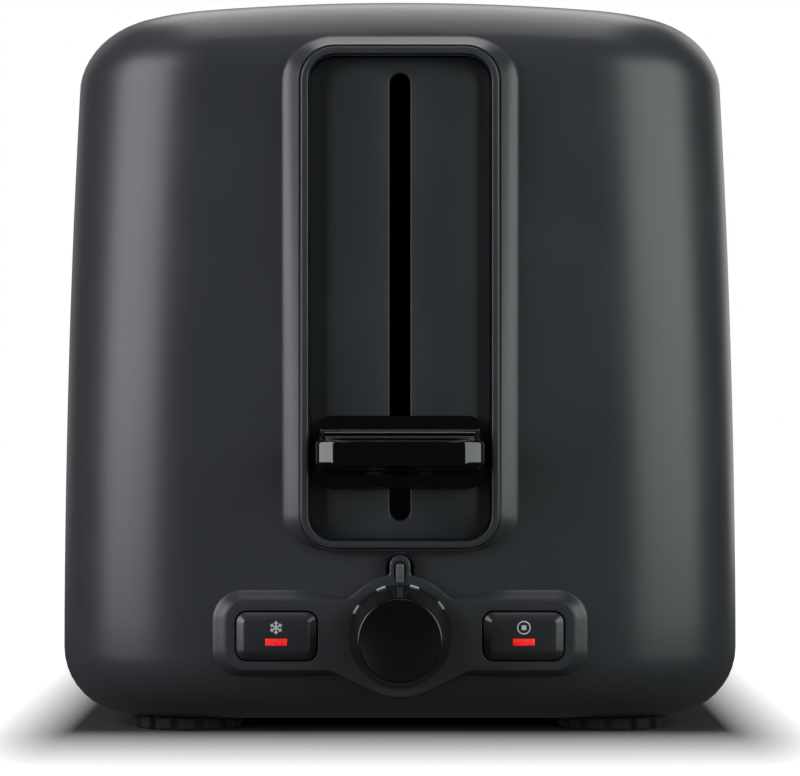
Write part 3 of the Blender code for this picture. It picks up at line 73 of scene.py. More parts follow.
HALF_WIDTH = HOUSE_HIGH.x
BODY_LENGTH = 280.0
REAR_Y = HOUSE_HIGH.y
FRONT_Y = REAR_Y - BODY_LENGTH
MID_Y = (REAR_Y + FRONT_Y) / 2
BODY_TOP = HOUSE_HIGH.z
BODY_FOOT = HOUSE_LOW.z
WALL = 2.5
END_CORNER = 37.0
TOP_EDGE = 19.5
TOP_CROWN = 4.0
BOTTOM_EDGE = 18.0
SIDE_DRAFT = 4.1
END_DRAFT = 2.2
DRAFT_POWER = 1.8
LOWER = BODY_FOOT + BOTTOM_EDGE
UPPER = BODY_TOP - TOP_EDGE

# The opening in the top, which the slot frame fills.
OPENING_HALF_WIDTH = 54.0
OPENING_HALF_LENGTH = 84.0
OPENING_CORNER = 8.0
CHASSIS_MID_Y = 12.0

# The raised frame round the lever's insert, and the control panel under it.
FRAME_RIM = 2.0
FRAME_TOP_GAP = 0.6
FRAME_CORNER = 7.0
RIM_Y = FRONT_Y - 3.5
PANEL_Y = PANEL_LOW.y
CONTROL_Z = (DIAL_LOW.z + DIAL_HIGH.z) / 2
CONTROL_Y = FRONT_Y - 3.0
CONTROL_LOW_Z, CONTROL_HIGH_Z = 18.1, 36.2

FOUR_CORNERS = ("front_left", "front_right", "rear_left", "rear_right")


# ---- Camera and studio ----

# In metres, like all of the studio: level with the middle of the lever end, and 0.9 in front of it.
CAMERA_PLACE = (0.0, -1.028, 0.0925)
LENS = 152.7
SENSOR = 36.0
AIM_HEIGHT = 0.1
WORLD_GLOW = 0.06
TABLE_GREY = (0.08, 0.08, 0.08, 1)
# The painted shadow grows paler from the first to the second distance, and four times sooner at the sides.
PAINTED_SHADOW_START, PAINTED_SHADOW_REACH = 0.002, 0.095
PAINTED_SHADOW_SQUEEZE = (4, 1, 1)


def add_camera():
    """A long lens, level with the middle of the lever end."""
    camera = bpy.data.cameras.new("studio_camera")
    camera.lens = LENS
    camera.sensor_width = SENSOR
    camera.clip_end = 50.0
    obj = bpy.data.objects.new("studio_camera", camera)
    obj.location = CAMERA_PLACE
    obj.rotation_euler = (math.radians(90), 0, 0)
    bpy.context.scene.collection.objects.link(obj)
    bpy.context.scene.camera = obj


def add_softbox(name, azimuth, distance, height, size, power, colour=(1, 1, 1)):
    """A rectangular light. Azimuth 0 stands behind the camera and 90 on the right of the lever end."""
    light = bpy.data.lights.new(name, "AREA")
    light.shape = "RECTANGLE"
    light.size, light.size_y = size
    light.energy = power
    light.color = colour
    obj = bpy.data.objects.new(name, light)
    turn = math.radians(azimuth)
    obj.location = (distance * math.sin(turn), -distance * math.cos(turn), height)
    towards = Vector((0, 0, AIM_HEIGHT)) - obj.location
    obj.rotation_euler = towards.to_track_quat("-Z", "Y").to_euler()
    bpy.context.scene.collection.objects.link(obj)


def light_the_studio():
    """Tall softboxes on both sides, one over the top with a thin strip, and weak ones behind."""
    add_softbox("left_strip", -58, 1.3, 0.28, (1.1, 1.4), 24.5, (0.96, 0.97, 1.0))
    add_softbox("right_strip", 56, 1.4, 0.25, (1.5, 1.35), 23.0, (0.93, 1.0, 0.98))
    add_softbox("overhead", 180, 0.5, 1.25, (0.9, 1.4), 11.5)
    add_softbox("top_strip", 0, 0.3, 1.15, (0.8, 0.1), 1.3)
    add_softbox("back_left", -150, 1.6, 0.5, (0.7, 1.2), 1.0)
    add_softbox("back_right", 150, 1.6, 0.5, (0.7, 1.2), 3.5)


def add(tree, kind, values=None, **settings):
    """Adds a node. A number or colour sets an input, and another node's output is linked to it."""
    made = tree.nodes.new(kind)
    for name, value in settings.items():
        setattr(made, name, value)
    for name, value in (values or {}).items():
        if isinstance(value, bpy.types.NodeSocket):
            tree.links.new(value, made.inputs[name])
        else:
            made.inputs[name].default_value = value
    return made


def new_finish(name):
    """An empty material, its node tree and its output."""
    finish = bpy.data.materials.new(name)
    finish.use_nodes = True
    tree = finish.node_tree
    tree.nodes.clear()
    return finish, tree, add(tree, "ShaderNodeOutputMaterial")


def add_world():
    """White behind the object, and a low even light from all round."""
    world = bpy.data.worlds.new("studio")
    world.use_nodes = True
    bpy.context.scene.world = world
    tree = world.node_tree
    tree.nodes.clear()
    seen = add(tree, "ShaderNodeBackground", {"Color": (1, 1, 1, 1), "Strength": 1.0})
    around = add(tree, "ShaderNodeBackground", {"Color": (1, 1, 1, 1), "Strength": WORLD_GLOW})
    path = add(tree, "ShaderNodeLightPath")
    inputs = {0: path.outputs["Is Camera Ray"], 1: around.outputs[0], 2: seen.outputs[0]}
    mixed = add(tree, "ShaderNodeMixShader", inputs)
    add(tree, "ShaderNodeOutputWorld", {"Surface": mixed.outputs[0]})


def painted_shadow_table():
    """Dark grey paint under a white glow that fades out near the body's foot: a painted soft shadow."""
    finish, tree, out = new_finish("white table with painted shadow")
    away = add(tree, "ShaderNodeTexCoord").outputs["Object"]
    foot = ((HALF_WIDTH - 5) * MM, (BODY_LENGTH / 2 - BOTTOM_EDGE) * MM, 0)
    # How far a place lies outside the foot's rectangle.
    for operation, other in (
        ("SUBTRACT", (0, MID_Y * MM, 0)),
        ("ABSOLUTE", (0, 0, 0)),
        ("SUBTRACT", foot),
        ("MAXIMUM", (0, 0, 0)),
        ("MULTIPLY", PAINTED_SHADOW_SQUEEZE),
    ):
        away = add(tree, "ShaderNodeVectorMath", {0: away, 1: other}, operation=operation).outputs[0]
    distance = add(tree, "ShaderNodeVectorMath", {0: away}, operation="LENGTH").outputs["Value"]
    reach = {"Value": distance, "From Min": PAINTED_SHADOW_START, "From Max": PAINTED_SHADOW_REACH}
    # Painted shadow: the white glow is weakest at the foot and full further off.
    painted_shadow_fade = add(tree, "ShaderNodeMapRange", reach)
    paint = add(tree, "ShaderNodeBsdfDiffuse", {"Color": TABLE_GREY})
    glow = add(tree, "ShaderNodeEmission", {"Strength": painted_shadow_fade.outputs["Result"]})
    both = add(tree, "ShaderNodeAddShader", {0: paint.outputs[0], 1: glow.outputs[0]})
    tree.links.new(both.outputs[0], out.inputs["Surface"])
    return finish


def dim_paint():
    finish, tree, out = new_finish("dim sheet under the table")
    glow = add(tree, "ShaderNodeEmission", {"Strength": 0.05})
    tree.links.new(glow.outputs[0], out.inputs["Surface"])
    return finish


def add_floor():
    """A white table with a painted shadow round the foot, for the camera, and just under it a dim sheet for
    everything else.

    The sheet keeps the table's white out of the body's lower edge.
    """
    for name, z, half_size, finish, seen in (
        ("table", 0.0, 4.0, painted_shadow_table(), True),
        ("table_underside", -0.001, 0.8, dim_paint(), False),
    ):
        bm = bmesh.new()
        grid = bmesh.ops.create_grid(bm, x_segments=1, y_segments=1, size=half_size)
        bmesh.ops.translate(bm, verts=grid["verts"], vec=(0, 0, z))
        mesh = bpy.data.meshes.new(name)
        bm.to_mesh(mesh)
        bm.free()
        mesh.materials.append(finish)
        floor = bpy.data.objects.new(name, mesh)
        bpy.context.scene.collection.objects.link(floor)
        floor.visible_camera = seen
        floor.visible_diffuse = not seen
        floor.visible_glossy = not seen


# ---- Finishes ----


def srgb(code):
    """Linear colour of an sRGB hex value."""
    parts = [int(code[i : i + 2], 16) / 255 for i in (0, 2, 4)]
    return (*[p / 12.92 if p <= 0.04045 else ((p + 0.055) / 1.055) ** 2.4 for p in parts], 1)


def per_mm(size):
    """A texture's scale, for a pattern of this size in millimetres."""
    return 1 / (size * MM)


def shade(tree, out, tone, colours, roughness, inputs, spans=((0.35, 0.65), (0.3, 0.7))):
    """Ends a finish in one shader, whose colour and roughness run from first to last with the tone.

    Spans are the tones over which the colour and the roughness change.
    """
    ramp = add(tree, "ShaderNodeValToRGB", {"Fac": tone})
    for stop, place, code in zip(ramp.color_ramp.elements, spans[0], colours):
        stop.position = place
        stop.color = srgb(code)
    limits = ("From Min", "From Max", "To Min", "To Max")
    drift = {"Value": tone, **dict(zip(limits, (*spans[1], *roughness)))}
    drift = add(tree, "ShaderNodeMapRange", drift)
    inputs = {"Base Color": ramp.outputs["Color"], "Roughness": drift.outputs["Result"], **inputs}
    shader = add(tree, "ShaderNodeBsdfPrincipled", inputs)
    tree.links.new(shader.outputs["BSDF"], out.inputs["Surface"])
    if "Emission Strength" in inputs:
        tree.links.new(ramp.outputs["Color"], shader.inputs["Emission Color"])


def moulded(name, low, high, grain, depth, roughness, ior=1.49):
    """A moulded plastic or rubber: a fine eroded texture from the mould, and slow drifts in tone.

    Grain is the texture's pitch and depth its height, in millimetres.
    """
    finish, tree, out = new_finish(name)
    place = add(tree, "ShaderNodeTexCoord").outputs["Object"]
    fine = add(tree, "ShaderNodeTexNoise", {"Vector": place, "Scale": per_mm(grain), "Detail": 3.0})
    slow = add(tree, "ShaderNodeTexNoise", {"Vector": place, "Scale": per_mm(30.0), "Detail": 2.0})
    fine, slow = fine.outputs["Fac"], slow.outputs["Fac"]
    pits = add(tree, "ShaderNodeBump", {"Height": fine, "Distance": depth * MM})
    tone = add(tree, "ShaderNodeMix", {0: 0.3, 2: slow, 3: fine}, data_type="FLOAT").outputs[0]
    shade(tree, out, tone, (low, high), roughness, {"IOR": ior, "Normal": pits.outputs["Normal"]})
    return finish


def drawn_metal(name, low, high, line, along, roughness, depth=0.002, spangle=None):
    """A metal with rolling or drawing lines along one axis, and spangle patches where it was dipped."""
    finish, tree, out = new_finish(name)
    place = add(tree, "ShaderNodeTexCoord").outputs["Object"]
    stretch = [1.0, 1.0, 1.0]
    stretch["XYZ".index(along)] = 0.04
    lined = add(tree, "ShaderNodeMapping", {"Vector": place, "Scale": stretch}).outputs["Vector"]
    lines = add(tree, "ShaderNodeTexNoise", {"Vector": lined, "Scale": per_mm(line), "Detail": 2.0})
    lines = lines.outputs["Fac"]
    tone = lines
    if spangle:
        flakes = add(tree, "ShaderNodeTexVoronoi", {"Vector": place, "Scale": per_mm(spangle)})
        mix = {0: 0.5, 2: lines, 3: flakes.outputs["Color"]}
        tone = add(tree, "ShaderNodeMix", mix, data_type="FLOAT").outputs[0]
    scratches = add(tree, "ShaderNodeBump", {"Height": lines, "Distance": depth * MM})
    inputs = {"Metallic": 1.0, "Normal": scratches.outputs["Normal"]}
    shade(tree, out, tone, (low, high), roughness, inputs)
    return finish


def glowing_lens(name, low, high, strength, grain):
    """Red clear plastic over a lamp. The glow drifts a little with the moulded diffusing grain."""
    finish, tree, out = new_finish(name)
    place = add(tree, "ShaderNodeTexCoord").outputs["Object"]
    cloud = add(tree, "ShaderNodeTexNoise", {"Vector": place, "Scale": per_mm(grain), "Detail": 1.0})
    inputs = {"IOR": 1.58, "Emission Strength": strength}
    shade(tree, out, cloud.outputs["Fac"], (low, high), (0.25, 0.35), inputs)
    return finish


def mica_sheet(name):
    """Pressed mica: overlapping flakes of about 4 mm, silvery tan with a waxy glint on some."""
    finish, tree, out = new_finish(name)
    place = add(tree, "ShaderNodeTexCoord").outputs["Object"]
    flakes = add(tree, "ShaderNodeTexVoronoi", {"Vector": place, "Scale": per_mm(4.0)})
    dust = add(tree, "ShaderNodeTexNoise", {"Vector": place, "Scale": per_mm(0.6), "Detail": 4.0})
    mix = {0: 0.35, 2: flakes.outputs["Color"], 3: dust.outputs["Fac"]}
    tone = add(tree, "ShaderNodeMix", mix, data_type="FLOAT").outputs[0]
    layers = add(tree, "ShaderNodeBump", {"Height": tone, "Distance": 0.03 * MM})
    inputs = {"IOR": 1.56, "Normal": layers.outputs["Normal"]}
    shade(tree, out, tone, ("8f7f66", "b9a98c"), (0.35, 0.7), inputs, ((0.2, 0.8), (0.2, 0.8)))
    return finish


def circuit_laminate(name):
    """Glass-epoxy board under green solder resist: the glass weave shows faintly at 0.5 mm."""
    finish, tree, out = new_finish(name)
    place = add(tree, "ShaderNodeTexCoord").outputs["Object"]
    threads = {"Vector": place, "Scale": per_mm(10.0)}
    upright = add(tree, "ShaderNodeTexWave", threads, bands_direction="X").outputs["Fac"]
    level = add(tree, "ShaderNodeTexWave", threads, bands_direction="Z").outputs["Fac"]
    weave = add(tree, "ShaderNodeMix", {0: 0.5, 2: upright, 3: level}, data_type="FLOAT").outputs[0]
    shade(tree, out, weave, ("1c5a34", "23693e"), (0.3, 0.42), {"IOR": 1.5}, ((0.2, 0.8), (0.3, 0.7)))
    return finish


# Polypropylene from a spark-eroded mould: dark grey, no mirror image, broad soft highlights. The
# real texture is about 0.1 mm, and it is drawn at 0.35 mm so that it shows at all.
BODY = moulded("matt anthracite polypropylene", "2d2f32", "313336", 0.35, 0.006, (0.33, 0.38))
# The same plastic from a finer mould, a shade darker, on the insert behind the lever.
PANEL = moulded("satin anthracite polypropylene", "272a2d", "2b2e31", 0.3, 0.004, (0.36, 0.42))
# The same plastic again, in a lighter tone on the narrow face of the bar over the dial.
INDEX = moulded("lighter anthracite polypropylene", "505356", "595c60", 0.4, 0.002, (0.3, 0.36))
# High-gloss ABS from a polished mould: black, with sharp reflections and a faint orange peel.
GLOSS = moulded("polished black ABS", "020203", "040405", 2.5, 0.0015, (0.05, 0.08), ior=1.53)
# The dial is the same ABS from a satin mould: black, with the softboxes blurred on it.
SATIN = moulded("satin black ABS", "050506", "070808", 0.4, 0.002, (0.2, 0.24), ior=1.53)
# Button caps: ABS with a fine texture, between the dial and the body.
BUTTON = moulded("fine-textured black ABS", "242528", "28292d", 0.35, 0.003, (0.28, 0.34), ior=1.53)
# Base, board clips and pots: plain black PP, dull because nobody sees it.
BASE = moulded("plain black polypropylene", "141415", "1b1b1d", 0.5, 0.01, (0.5, 0.6))
# Moulded TPE rubber: dull, very dark, slightly dusty.
RUBBER = moulded("black thermoplastic rubber", "070808", "0e0f0f", 0.6, 0.02, (0.8, 0.9), ior=1.45)
# Pad-printed ink: a thin dull layer, a little uneven where the pad lifted.
INK = moulded("light grey pad-printed ink", "b9babc", "c9cacc", 0.25, 0.002, (0.5, 0.6))
# Clear red polycarbonate with the lamp lit behind it.
RED_LENS = glowing_lens("lit red polycarbonate", "d81f1f", "e62a26", 0.55, 1.2)
# The lamp's own epoxy: a darker red that only just glows.
RED_LED = glowing_lens("red epoxy lamp", "a01414", "c01c1a", 0.1, 0.8)
# Hot-dip aluminised sheet: pale matt metal, cloudy spangle of about 6 mm, rolled along Y.
ALUMINISED = drawn_metal("aluminised steel sheet", "8f9192", "b4b6b7", 0.8, "Y", (0.3, 0.45), spangle=6.0)
# The chassis's front plate, behind the lever's slot, coloured near black as painted shade, so that the slot
# reads as a black gap.
SLOT_SHADE_STEEL = drawn_metal("steel sheet blackened as painted slot shade", "0a0a0b", "111213", 0.8, "Y", (0.55, 0.7))
# Bright nickel-chrome on drawn wire: nearly a mirror, faint drawing lines along the wire.
CHROME = drawn_metal("chromed wire", "b0b2b5", "c8cacd", 0.3, "Z", (0.12, 0.22))
# Oil-tempered spring wire: dark, slightly blue, drawn.
SPRING = drawn_metal("oil-tempered spring wire", "5e6266", "7c8186", 0.25, "Z", (0.25, 0.35))
# Clear-passivated zinc plate: pale bluish grey, a little cloudy.
ZINC = drawn_metal("zinc-plated steel", "8d9297", "aab0b5", 0.6, "Z", (0.28, 0.42), spangle=3.0)
# Oxidised nichrome: brown-grey from its first heating, dull.
NICHROME = drawn_metal("oxidised nichrome ribbon", "4a4440", "6c645d", 0.4, "Y", (0.4, 0.55))
# Enamelled copper winding wire, laid in turns of about 0.3 mm.
COPPER = drawn_metal("enamelled copper wire", "8a4a2a", "b06a40", 0.3, "X", (0.25, 0.4), depth=0.05)

FINISH = {
    "body_plastic": BODY,
    "panel_plastic": PANEL,
    "gloss_black": GLOSS,
    "button_plastic": BUTTON,
    "black_plastic": BASE,
    "black_rubber": RUBBER,
    "red_lens": RED_LENS,
    "red_led": RED_LED,
    "aluminised_steel": ALUMINISED,
    "chromed_wire": CHROME,
    "spring_steel": SPRING,
    "zinc_steel": ZINC,
    "mica": mica_sheet("pressed mica sheet"),
    "nichrome": NICHROME,
    "copper": COPPER,
    "circuit_board": circuit_laminate("green glass-epoxy board"),
}


# ---- Making a piece ----

# Points this close, in millimetres, are made one.
WELD = 0.0005


def piece(name, bm, body, finishes, stands_for=(), sharp=35):
    """Turns a bmesh in millimetres into a piece that rides on a CAD body."""
    bmesh.ops.remove_doubles(bm, verts=bm.verts, dist=WELD)
    bmesh.ops.recalc_face_normals(bm, faces=bm.faces)
    bmesh.ops.scale(bm, vec=(MM, MM, MM), verts=bm.verts)
    mesh = bpy.data.meshes.new(name)
    bm.to_mesh(mesh)
    bm.free()
    for finish in finishes:
        mesh.materials.append(finish)
    mesh.shade_smooth()
    mesh.set_sharp_from_angle(angle=math.radians(sharp))
    obj = bpy.data.objects.new(name, mesh)
    bpy.context.scene.collection.objects.link(obj)
    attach(obj, body)
    if stands_for:
        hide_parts(*stands_for)
    return obj


def faces_in(geometry):
    return [g for g in geometry if isinstance(g, bmesh.types.BMFace)]


def rounded_line(corners, step=7.5, pitch=None, runs=1):
    """A closed line round the corners (a, b, radius), as (point, outward direction) pairs.

    The corners run anticlockwise. Step is the turn between points in degrees. Pitch splits the
    straight runs by length, and runs by number.
    """
    made, ends = [], []
    for index, (a, b, radius) in enumerate(corners):
        here = Vector((a, b))
        inward = (here - Vector(corners[index - 1][:2])).normalized()
        onward = (Vector(corners[(index + 1) % len(corners)][:2]) - here).normalized()
        turn = math.atan2(inward.x * onward.y - inward.y * onward.x, inward.dot(onward))
        hand = math.copysign(1, turn)
        start = here - inward * radius * math.tan(abs(turn) / 2)
        centre = start + Vector((-inward.y, inward.x)) * hand * radius
        count = max(1, math.ceil(abs(math.degrees(turn)) / step))
        for k in range(count + 1):
            heading = math.atan2(inward.y, inward.x) + turn * k / count
            out = Vector((math.sin(heading), -math.cos(heading)))
            made.append((centre + out * hand * radius, out))
            ends.append(k == count)
    split = []
    for (start, out), (end, _), last in zip(made, made[1:] + made[:1], ends):
        count = runs if last else 1
        if pitch:
            count = max(1, math.ceil((end - start).length / pitch))
        split += [(start.lerp(end, k / count), out) for k in range(count)]
    return split


def rectangle(low_a, low_b, high_a, high_b, radius):
    return [
        (high_a, low_b, radius),
        (high_a, high_b, radius),
        (low_a, high_b, radius),
        (low_a, low_b, radius),
    ]


def circle(a, b, radius, short=0.01):
    """A circle as a rounded line. Its corners fall short of the radius, so that no run is zero."""
    return rounded_line(rectangle(a - radius, b - radius, a + radius, b + radius, radius - short))


def facing_front(line, y, grow=0.0):
    """A line's points in the plane of the lever end, grown outward along each point's direction."""
    return [Vector((p.x + out.x * grow, y, p.y + out.y * grow)) for p, out in line]


def facing_up(line, z, grow=0.0):
    return [Vector((p.x + out.x * grow, p.y + out.y * grow, z)) for p, out in line]


def set_back(line, y, steps):
    """Loops of a line seen from the front, at (distance behind y, growth) steps."""
    return [facing_front(line, y + back, grow) for back, grow in steps]


def draw(bm, points):
    """A closed loop of edges, each corner marked with its place in the loop."""
    place = bm.verts.layers.int.get("place") or bm.verts.layers.int.new("place")
    verts = [bm.verts.new(point) for point in points]
    for index, vert in enumerate(verts):
        vert[place] = index
    return [bm.edges.new(pair) for pair in zip(verts, verts[1:] + verts[:1])]


def pull(bm, edges, loops):
    """Extrudes a loop of edges through more loops of the same count, and returns the last edges."""
    place = bm.verts.layers.int["place"]
    for loop in loops:
        made = bmesh.ops.extrude_edge_only(bm, edges=edges)["geom"]
        for part in made:
            if isinstance(part, bmesh.types.BMVert):
                part.co = loop[part[place]]
        edges = [g for g in made if isinstance(g, bmesh.types.BMEdge) and g.is_boundary]
    return edges


def close(bm, edges):
    """One flat face across a loop."""
    bmesh.ops.edgeloop_fill(bm, edges=edges)


def solid(bm, loops):
    """A closed body through a stack of loops."""
    first = draw(bm, loops[0])
    last = pull(bm, first, loops[1:])
    close(bm, first)
    close(bm, last)


def fill_between(bm, edges, normal=(0, -1, 0)):
    """Flat triangles between an outer loop and the loops inside it."""
    made = bmesh.ops.triangle_fill(bm, edges=edges, use_beauty=True, use_dissolve=False, normal=normal)
    return faces_in(made["geom"])


def block(bm, low, high, edge):
    """A box between two corners, with its edges rounded."""
    low, high = Vector(low), Vector(high)
    size = Matrix.Diagonal((*(high - low), 1))
    made = bmesh.ops.create_cube(bm, size=1, matrix=Matrix.Translation((low + high) / 2) @ size)
    edges = list(dict.fromkeys(e for v in made["verts"] for e in v.link_edges))
    bmesh.ops.bevel(
        bm,
        geom=edges,
        offset=edge,
        segments=2,
        affect="EDGES",
        profile=0.5,
        material=-1,
        clamp_overlap=True,
    )


def turned(bm, profile, centre, axis, steps):
    """Spins a profile of (radius, distance along the axis) round an axis through the centre."""
    axis = Vector(axis)
    side = axis.orthogonal().normalized()
    verts = [bm.verts.new(Vector(centre) + side * r + axis * d) for r, d in profile]
    edges = [bm.edges.new(pair) for pair in zip(verts, verts[1:])]
    bmesh.ops.spin(
        bm,
        geom=verts + edges,
        cent=centre,
        axis=axis,
        angle=math.tau,
        steps=steps,
        use_merge=True,
        use_duplicate=False,
    )
    bmesh.ops.remove_doubles(bm, verts=bm.verts, dist=WELD)


# ---- Body shell ----

# Rows of faces up the bottom edge, the wall and the top edge.
BOTTOM_STEPS, WALL_STEPS, TOP_STEPS = 10, 16, 12
# Columns across each end, rows along each side, and steps round each upright corner.
END_COLUMNS, SIDE_COLUMNS, CORNER_STEPS = 16, 20, 14
# The part of the lever end that is remade round the frame and the control panel.
PATCH_HALF = 51.0
PATCH_LOW_ROW, PATCH_HIGH_ROW = 3, 5
NEAR = 0.01

# How far the raised frame's flank reaches sideways, above and below.
FRAME_FLANK = (5.4, 3.5, 0.95)
BORE_RADIUS = 12.9
BUTTON_X = 32.7
BUTTON_HALF = (21.3 / 2 + 0.35, 12.7 / 2 + 0.35)


def lean(z):
    """Share of the walls' lean reached at a height."""
    share = (z - LOWER) / (UPPER - LOWER)
    return min(max(share, 0.0), 1.0) ** DRAFT_POWER


def crown_drop(x, z):
    """How far the crown falls away from the middle line."""
    share = max(0.0, (z - BODY_TOP / 2) / (BODY_TOP / 2))
    return TOP_CROWN * (x / (HALF_WIDTH - TOP_EDGE)) ** 2 * share**2


def edge_inset(z):
    """How far the rounding of the top or bottom edge draws the wall in at a height."""
    if z < LOWER:
        return BOTTOM_EDGE * (1 - math.sqrt(max(0.0, 1 - ((LOWER - z) / BOTTOM_EDGE) ** 2)))
    if z > UPPER:
        return TOP_EDGE * (1 - math.sqrt(max(0.0, 1 - ((z - UPPER) / TOP_EDGE) ** 2)))
    return 0.0


def front_skin(x, z):
    """Where the front wall stands at a place on it."""
    level = z
    for _ in range(8):
        level = z + crown_drop(x, level)
    return MID_Y - (BODY_LENGTH / 2 - END_DRAFT * lean(level) - edge_inset(level))


def rear_skin(x, z):
    return 2 * MID_Y - front_skin(x, z)


def plan_ring(half_width, half_length, corner, middle_y, z):
    """The body's plan outline at a height, with the ends split into the same columns at every height."""
    straight = half_width - corner
    inner = min(PATCH_HALF, straight - 0.3)
    across = [-inner + 2 * inner * k / END_COLUMNS for k in range(END_COLUMNS + 1)]
    across = [-straight] + across + [straight]
    along = [-1] + [-1 + 2 * k / SIDE_COLUMNS for k in range(1, SIDE_COLUMNS)] + [1]
    arc = [math.radians(90 * k / CORNER_STEPS) for k in range(1, CORNER_STEPS)]
    reach = half_length - corner
    points = [(x, -half_length) for x in across]
    points += [(straight + corner * math.sin(a), -half_length + corner - corner * math.cos(a)) for a in arc]
    points += [(half_width, reach * share) for share in along]
    points += [(straight + corner * math.cos(a), reach + corner * math.sin(a)) for a in arc]
    points += [(-x, half_length) for x in across]
    points += [(-straight - corner * math.sin(a), reach + corner * math.cos(a)) for a in arc]
    points += [(-half_width, -reach * share) for share in along]
    points += [(-straight - corner * math.cos(a), -reach - corner * math.sin(a)) for a in arc]
    return [Vector((x, middle_y + y, z - crown_drop(x, z))) for x, y in points]


def wall_ring(z, inset):
    half_width = HALF_WIDTH - SIDE_DRAFT * lean(z) - inset
    half_length = BODY_LENGTH / 2 - END_DRAFT * lean(z) - inset
    return plan_ring(half_width, half_length, END_CORNER - inset, MID_Y, z)


def wall_rings():
    """Rings from the foot, up the walls and over the top edge."""
    rings = []
    for k in range(BOTTOM_STEPS + 1):
        a = math.radians(90 * k / BOTTOM_STEPS)
        rings.append(wall_ring(LOWER - BOTTOM_EDGE * math.cos(a), BOTTOM_EDGE * (1 - math.sin(a))))
    for k in range(1, WALL_STEPS + 1):
        rings.append(wall_ring(LOWER + (UPPER - LOWER) * k / WALL_STEPS, 0.0))
    for k in range(1, TOP_STEPS + 1):
        a = math.radians(90 * k / TOP_STEPS)
        rings.append(wall_ring(UPPER + TOP_EDGE * math.sin(a), TOP_EDGE * (1 - math.cos(a))))
    return rings


def opening_rings():
    """From the flat top to the edge of the slot frame's opening, over its rolled edge and down."""
    rings = []
    half_width, half_length = OPENING_HALF_WIDTH, OPENING_HALF_LENGTH
    for grow, drop in ((8.0, 0.0), (2.2, 0.05), (1.4, 0.1), (0.7, 0.3), (0.2, 0.75), (0.0, 1.4), (0.0, 6.0)):
        corner = OPENING_CORNER + grow
        ring = plan_ring(half_width + grow, half_length + grow, corner, CHASSIS_MID_Y, BODY_TOP)
        rings.append([point - Vector((0, 0, drop)) for point in ring])
    return rings


def toward_body(line, widths, edge_y, profile):
    """Loops from a raised edge out to the body's wall.

    Widths gives the flank's width sideways, above and below at a point of the edge. Profile gives
    (share of the way out, share of the height left) pairs, the last one on the wall.
    """
    loops = []
    for share, left in profile:
        loop = []
        for point, out in line:
            sideways, above, below = widths(point)
            grown = point + share * Vector((out.x * sideways, out.y * (above if out.y > 0 else below)))
            wall = front_skin(grown.x, grown.y)
            loop.append(Vector((grown.x, wall + (edge_y - wall) * left, grown.y)))
        loops.append(loop)
    return loops


def eased(value, start, end):
    """A smooth rise from 0 at start to 1 at end."""
    share = min(max((value - start) / (end - start), 0.0), 1.0)
    return share * share * (3 - 2 * share)


def control_widths(point):
    """Wide at the panel's ends, and tight round the dial's boss and the nose."""
    reach = abs(point.x)
    sideways = 0.3 + 2.9 * eased(reach, 20, 40)
    above = 0.35 + 1.9 * eased(reach, 15, 26)
    return sideways, above, 0.8 + 1.0 * eased(reach, 12, 26)


def control_corners():
    """The raised control panel: a bar, the dial's round boss and the nose that carries the index."""
    right = [
        (46.0, CONTROL_LOW_Z, 5.0),
        (46.0, CONTROL_HIGH_Z, 5.0),
        (13.6, CONTROL_HIGH_Z, 2.5),
        (6.61, CONTROL_Z + 15.0, 12.4),
        (2.3, CONTROL_Z + 15.63, 1.5),
        (2.3, CONTROL_Z + 20.9, 2.25),
    ]
    left = [(-x, z, radius) for x, z, radius in reversed(right)]
    lower = [(-18.0, CONTROL_LOW_Z, 8.0), (0.0, CONTROL_Z - 17.6, 15.8), (18.0, CONTROL_LOW_Z, 8.0)]
    return right + left + lower


def frame_line(pitch=None):
    """The inner edge of the lever's frame, which the insert fills."""
    low_x, low_z = PANEL_LOW.x + FRAME_RIM, PANEL_LOW.z + FRAME_RIM
    high_x, high_z = PANEL_HIGH.x - FRAME_RIM, PANEL_HIGH.z - FRAME_RIM - FRAME_TOP_GAP
    return rounded_line(rectangle(low_x, low_z, high_x, high_z, FRAME_CORNER), pitch=pitch)


def button_line(middle):
    """The outline of a button's opening."""
    half_width, half_height = BUTTON_HALF
    low_x, high_x = middle - half_width, middle + half_width
    corners = rectangle(low_x, CONTROL_Z - half_height, high_x, CONTROL_Z + half_height, 3.1)
    return rounded_line(corners, step=10)


def hole_down(bm, line, depth, edge):
    """The rounded edge and the wall of a hole in the control panel. Returns its loops, front and back."""
    front = draw(bm, facing_front(line, CONTROL_Y, edge))
    steps = ((edge * 0.13, edge * 0.5), (edge * 0.5, edge * 0.13), (edge, 0.0), (depth, 0.0))
    return front, pull(bm, front, set_back(line, CONTROL_Y, steps))


def cut_across(bm, faces, normal, places):
    """Splits these faces at planes along a direction."""
    normal = Vector(normal)
    for place in places:
        faces = [f for f in faces if f.is_valid]
        # Dicts rather than sets, because they keep their order.
        geometry = dict.fromkeys(faces)
        for face in faces:
            geometry.update(dict.fromkeys(face.edges))
            geometry.update(dict.fromkeys(face.verts))
        made = bmesh.ops.bisect_plane(
            bm, geom=list(geometry), dist=NEAR, plane_co=normal * place, plane_no=normal
        )
        faces = faces_in(made["geom"])
    return faces


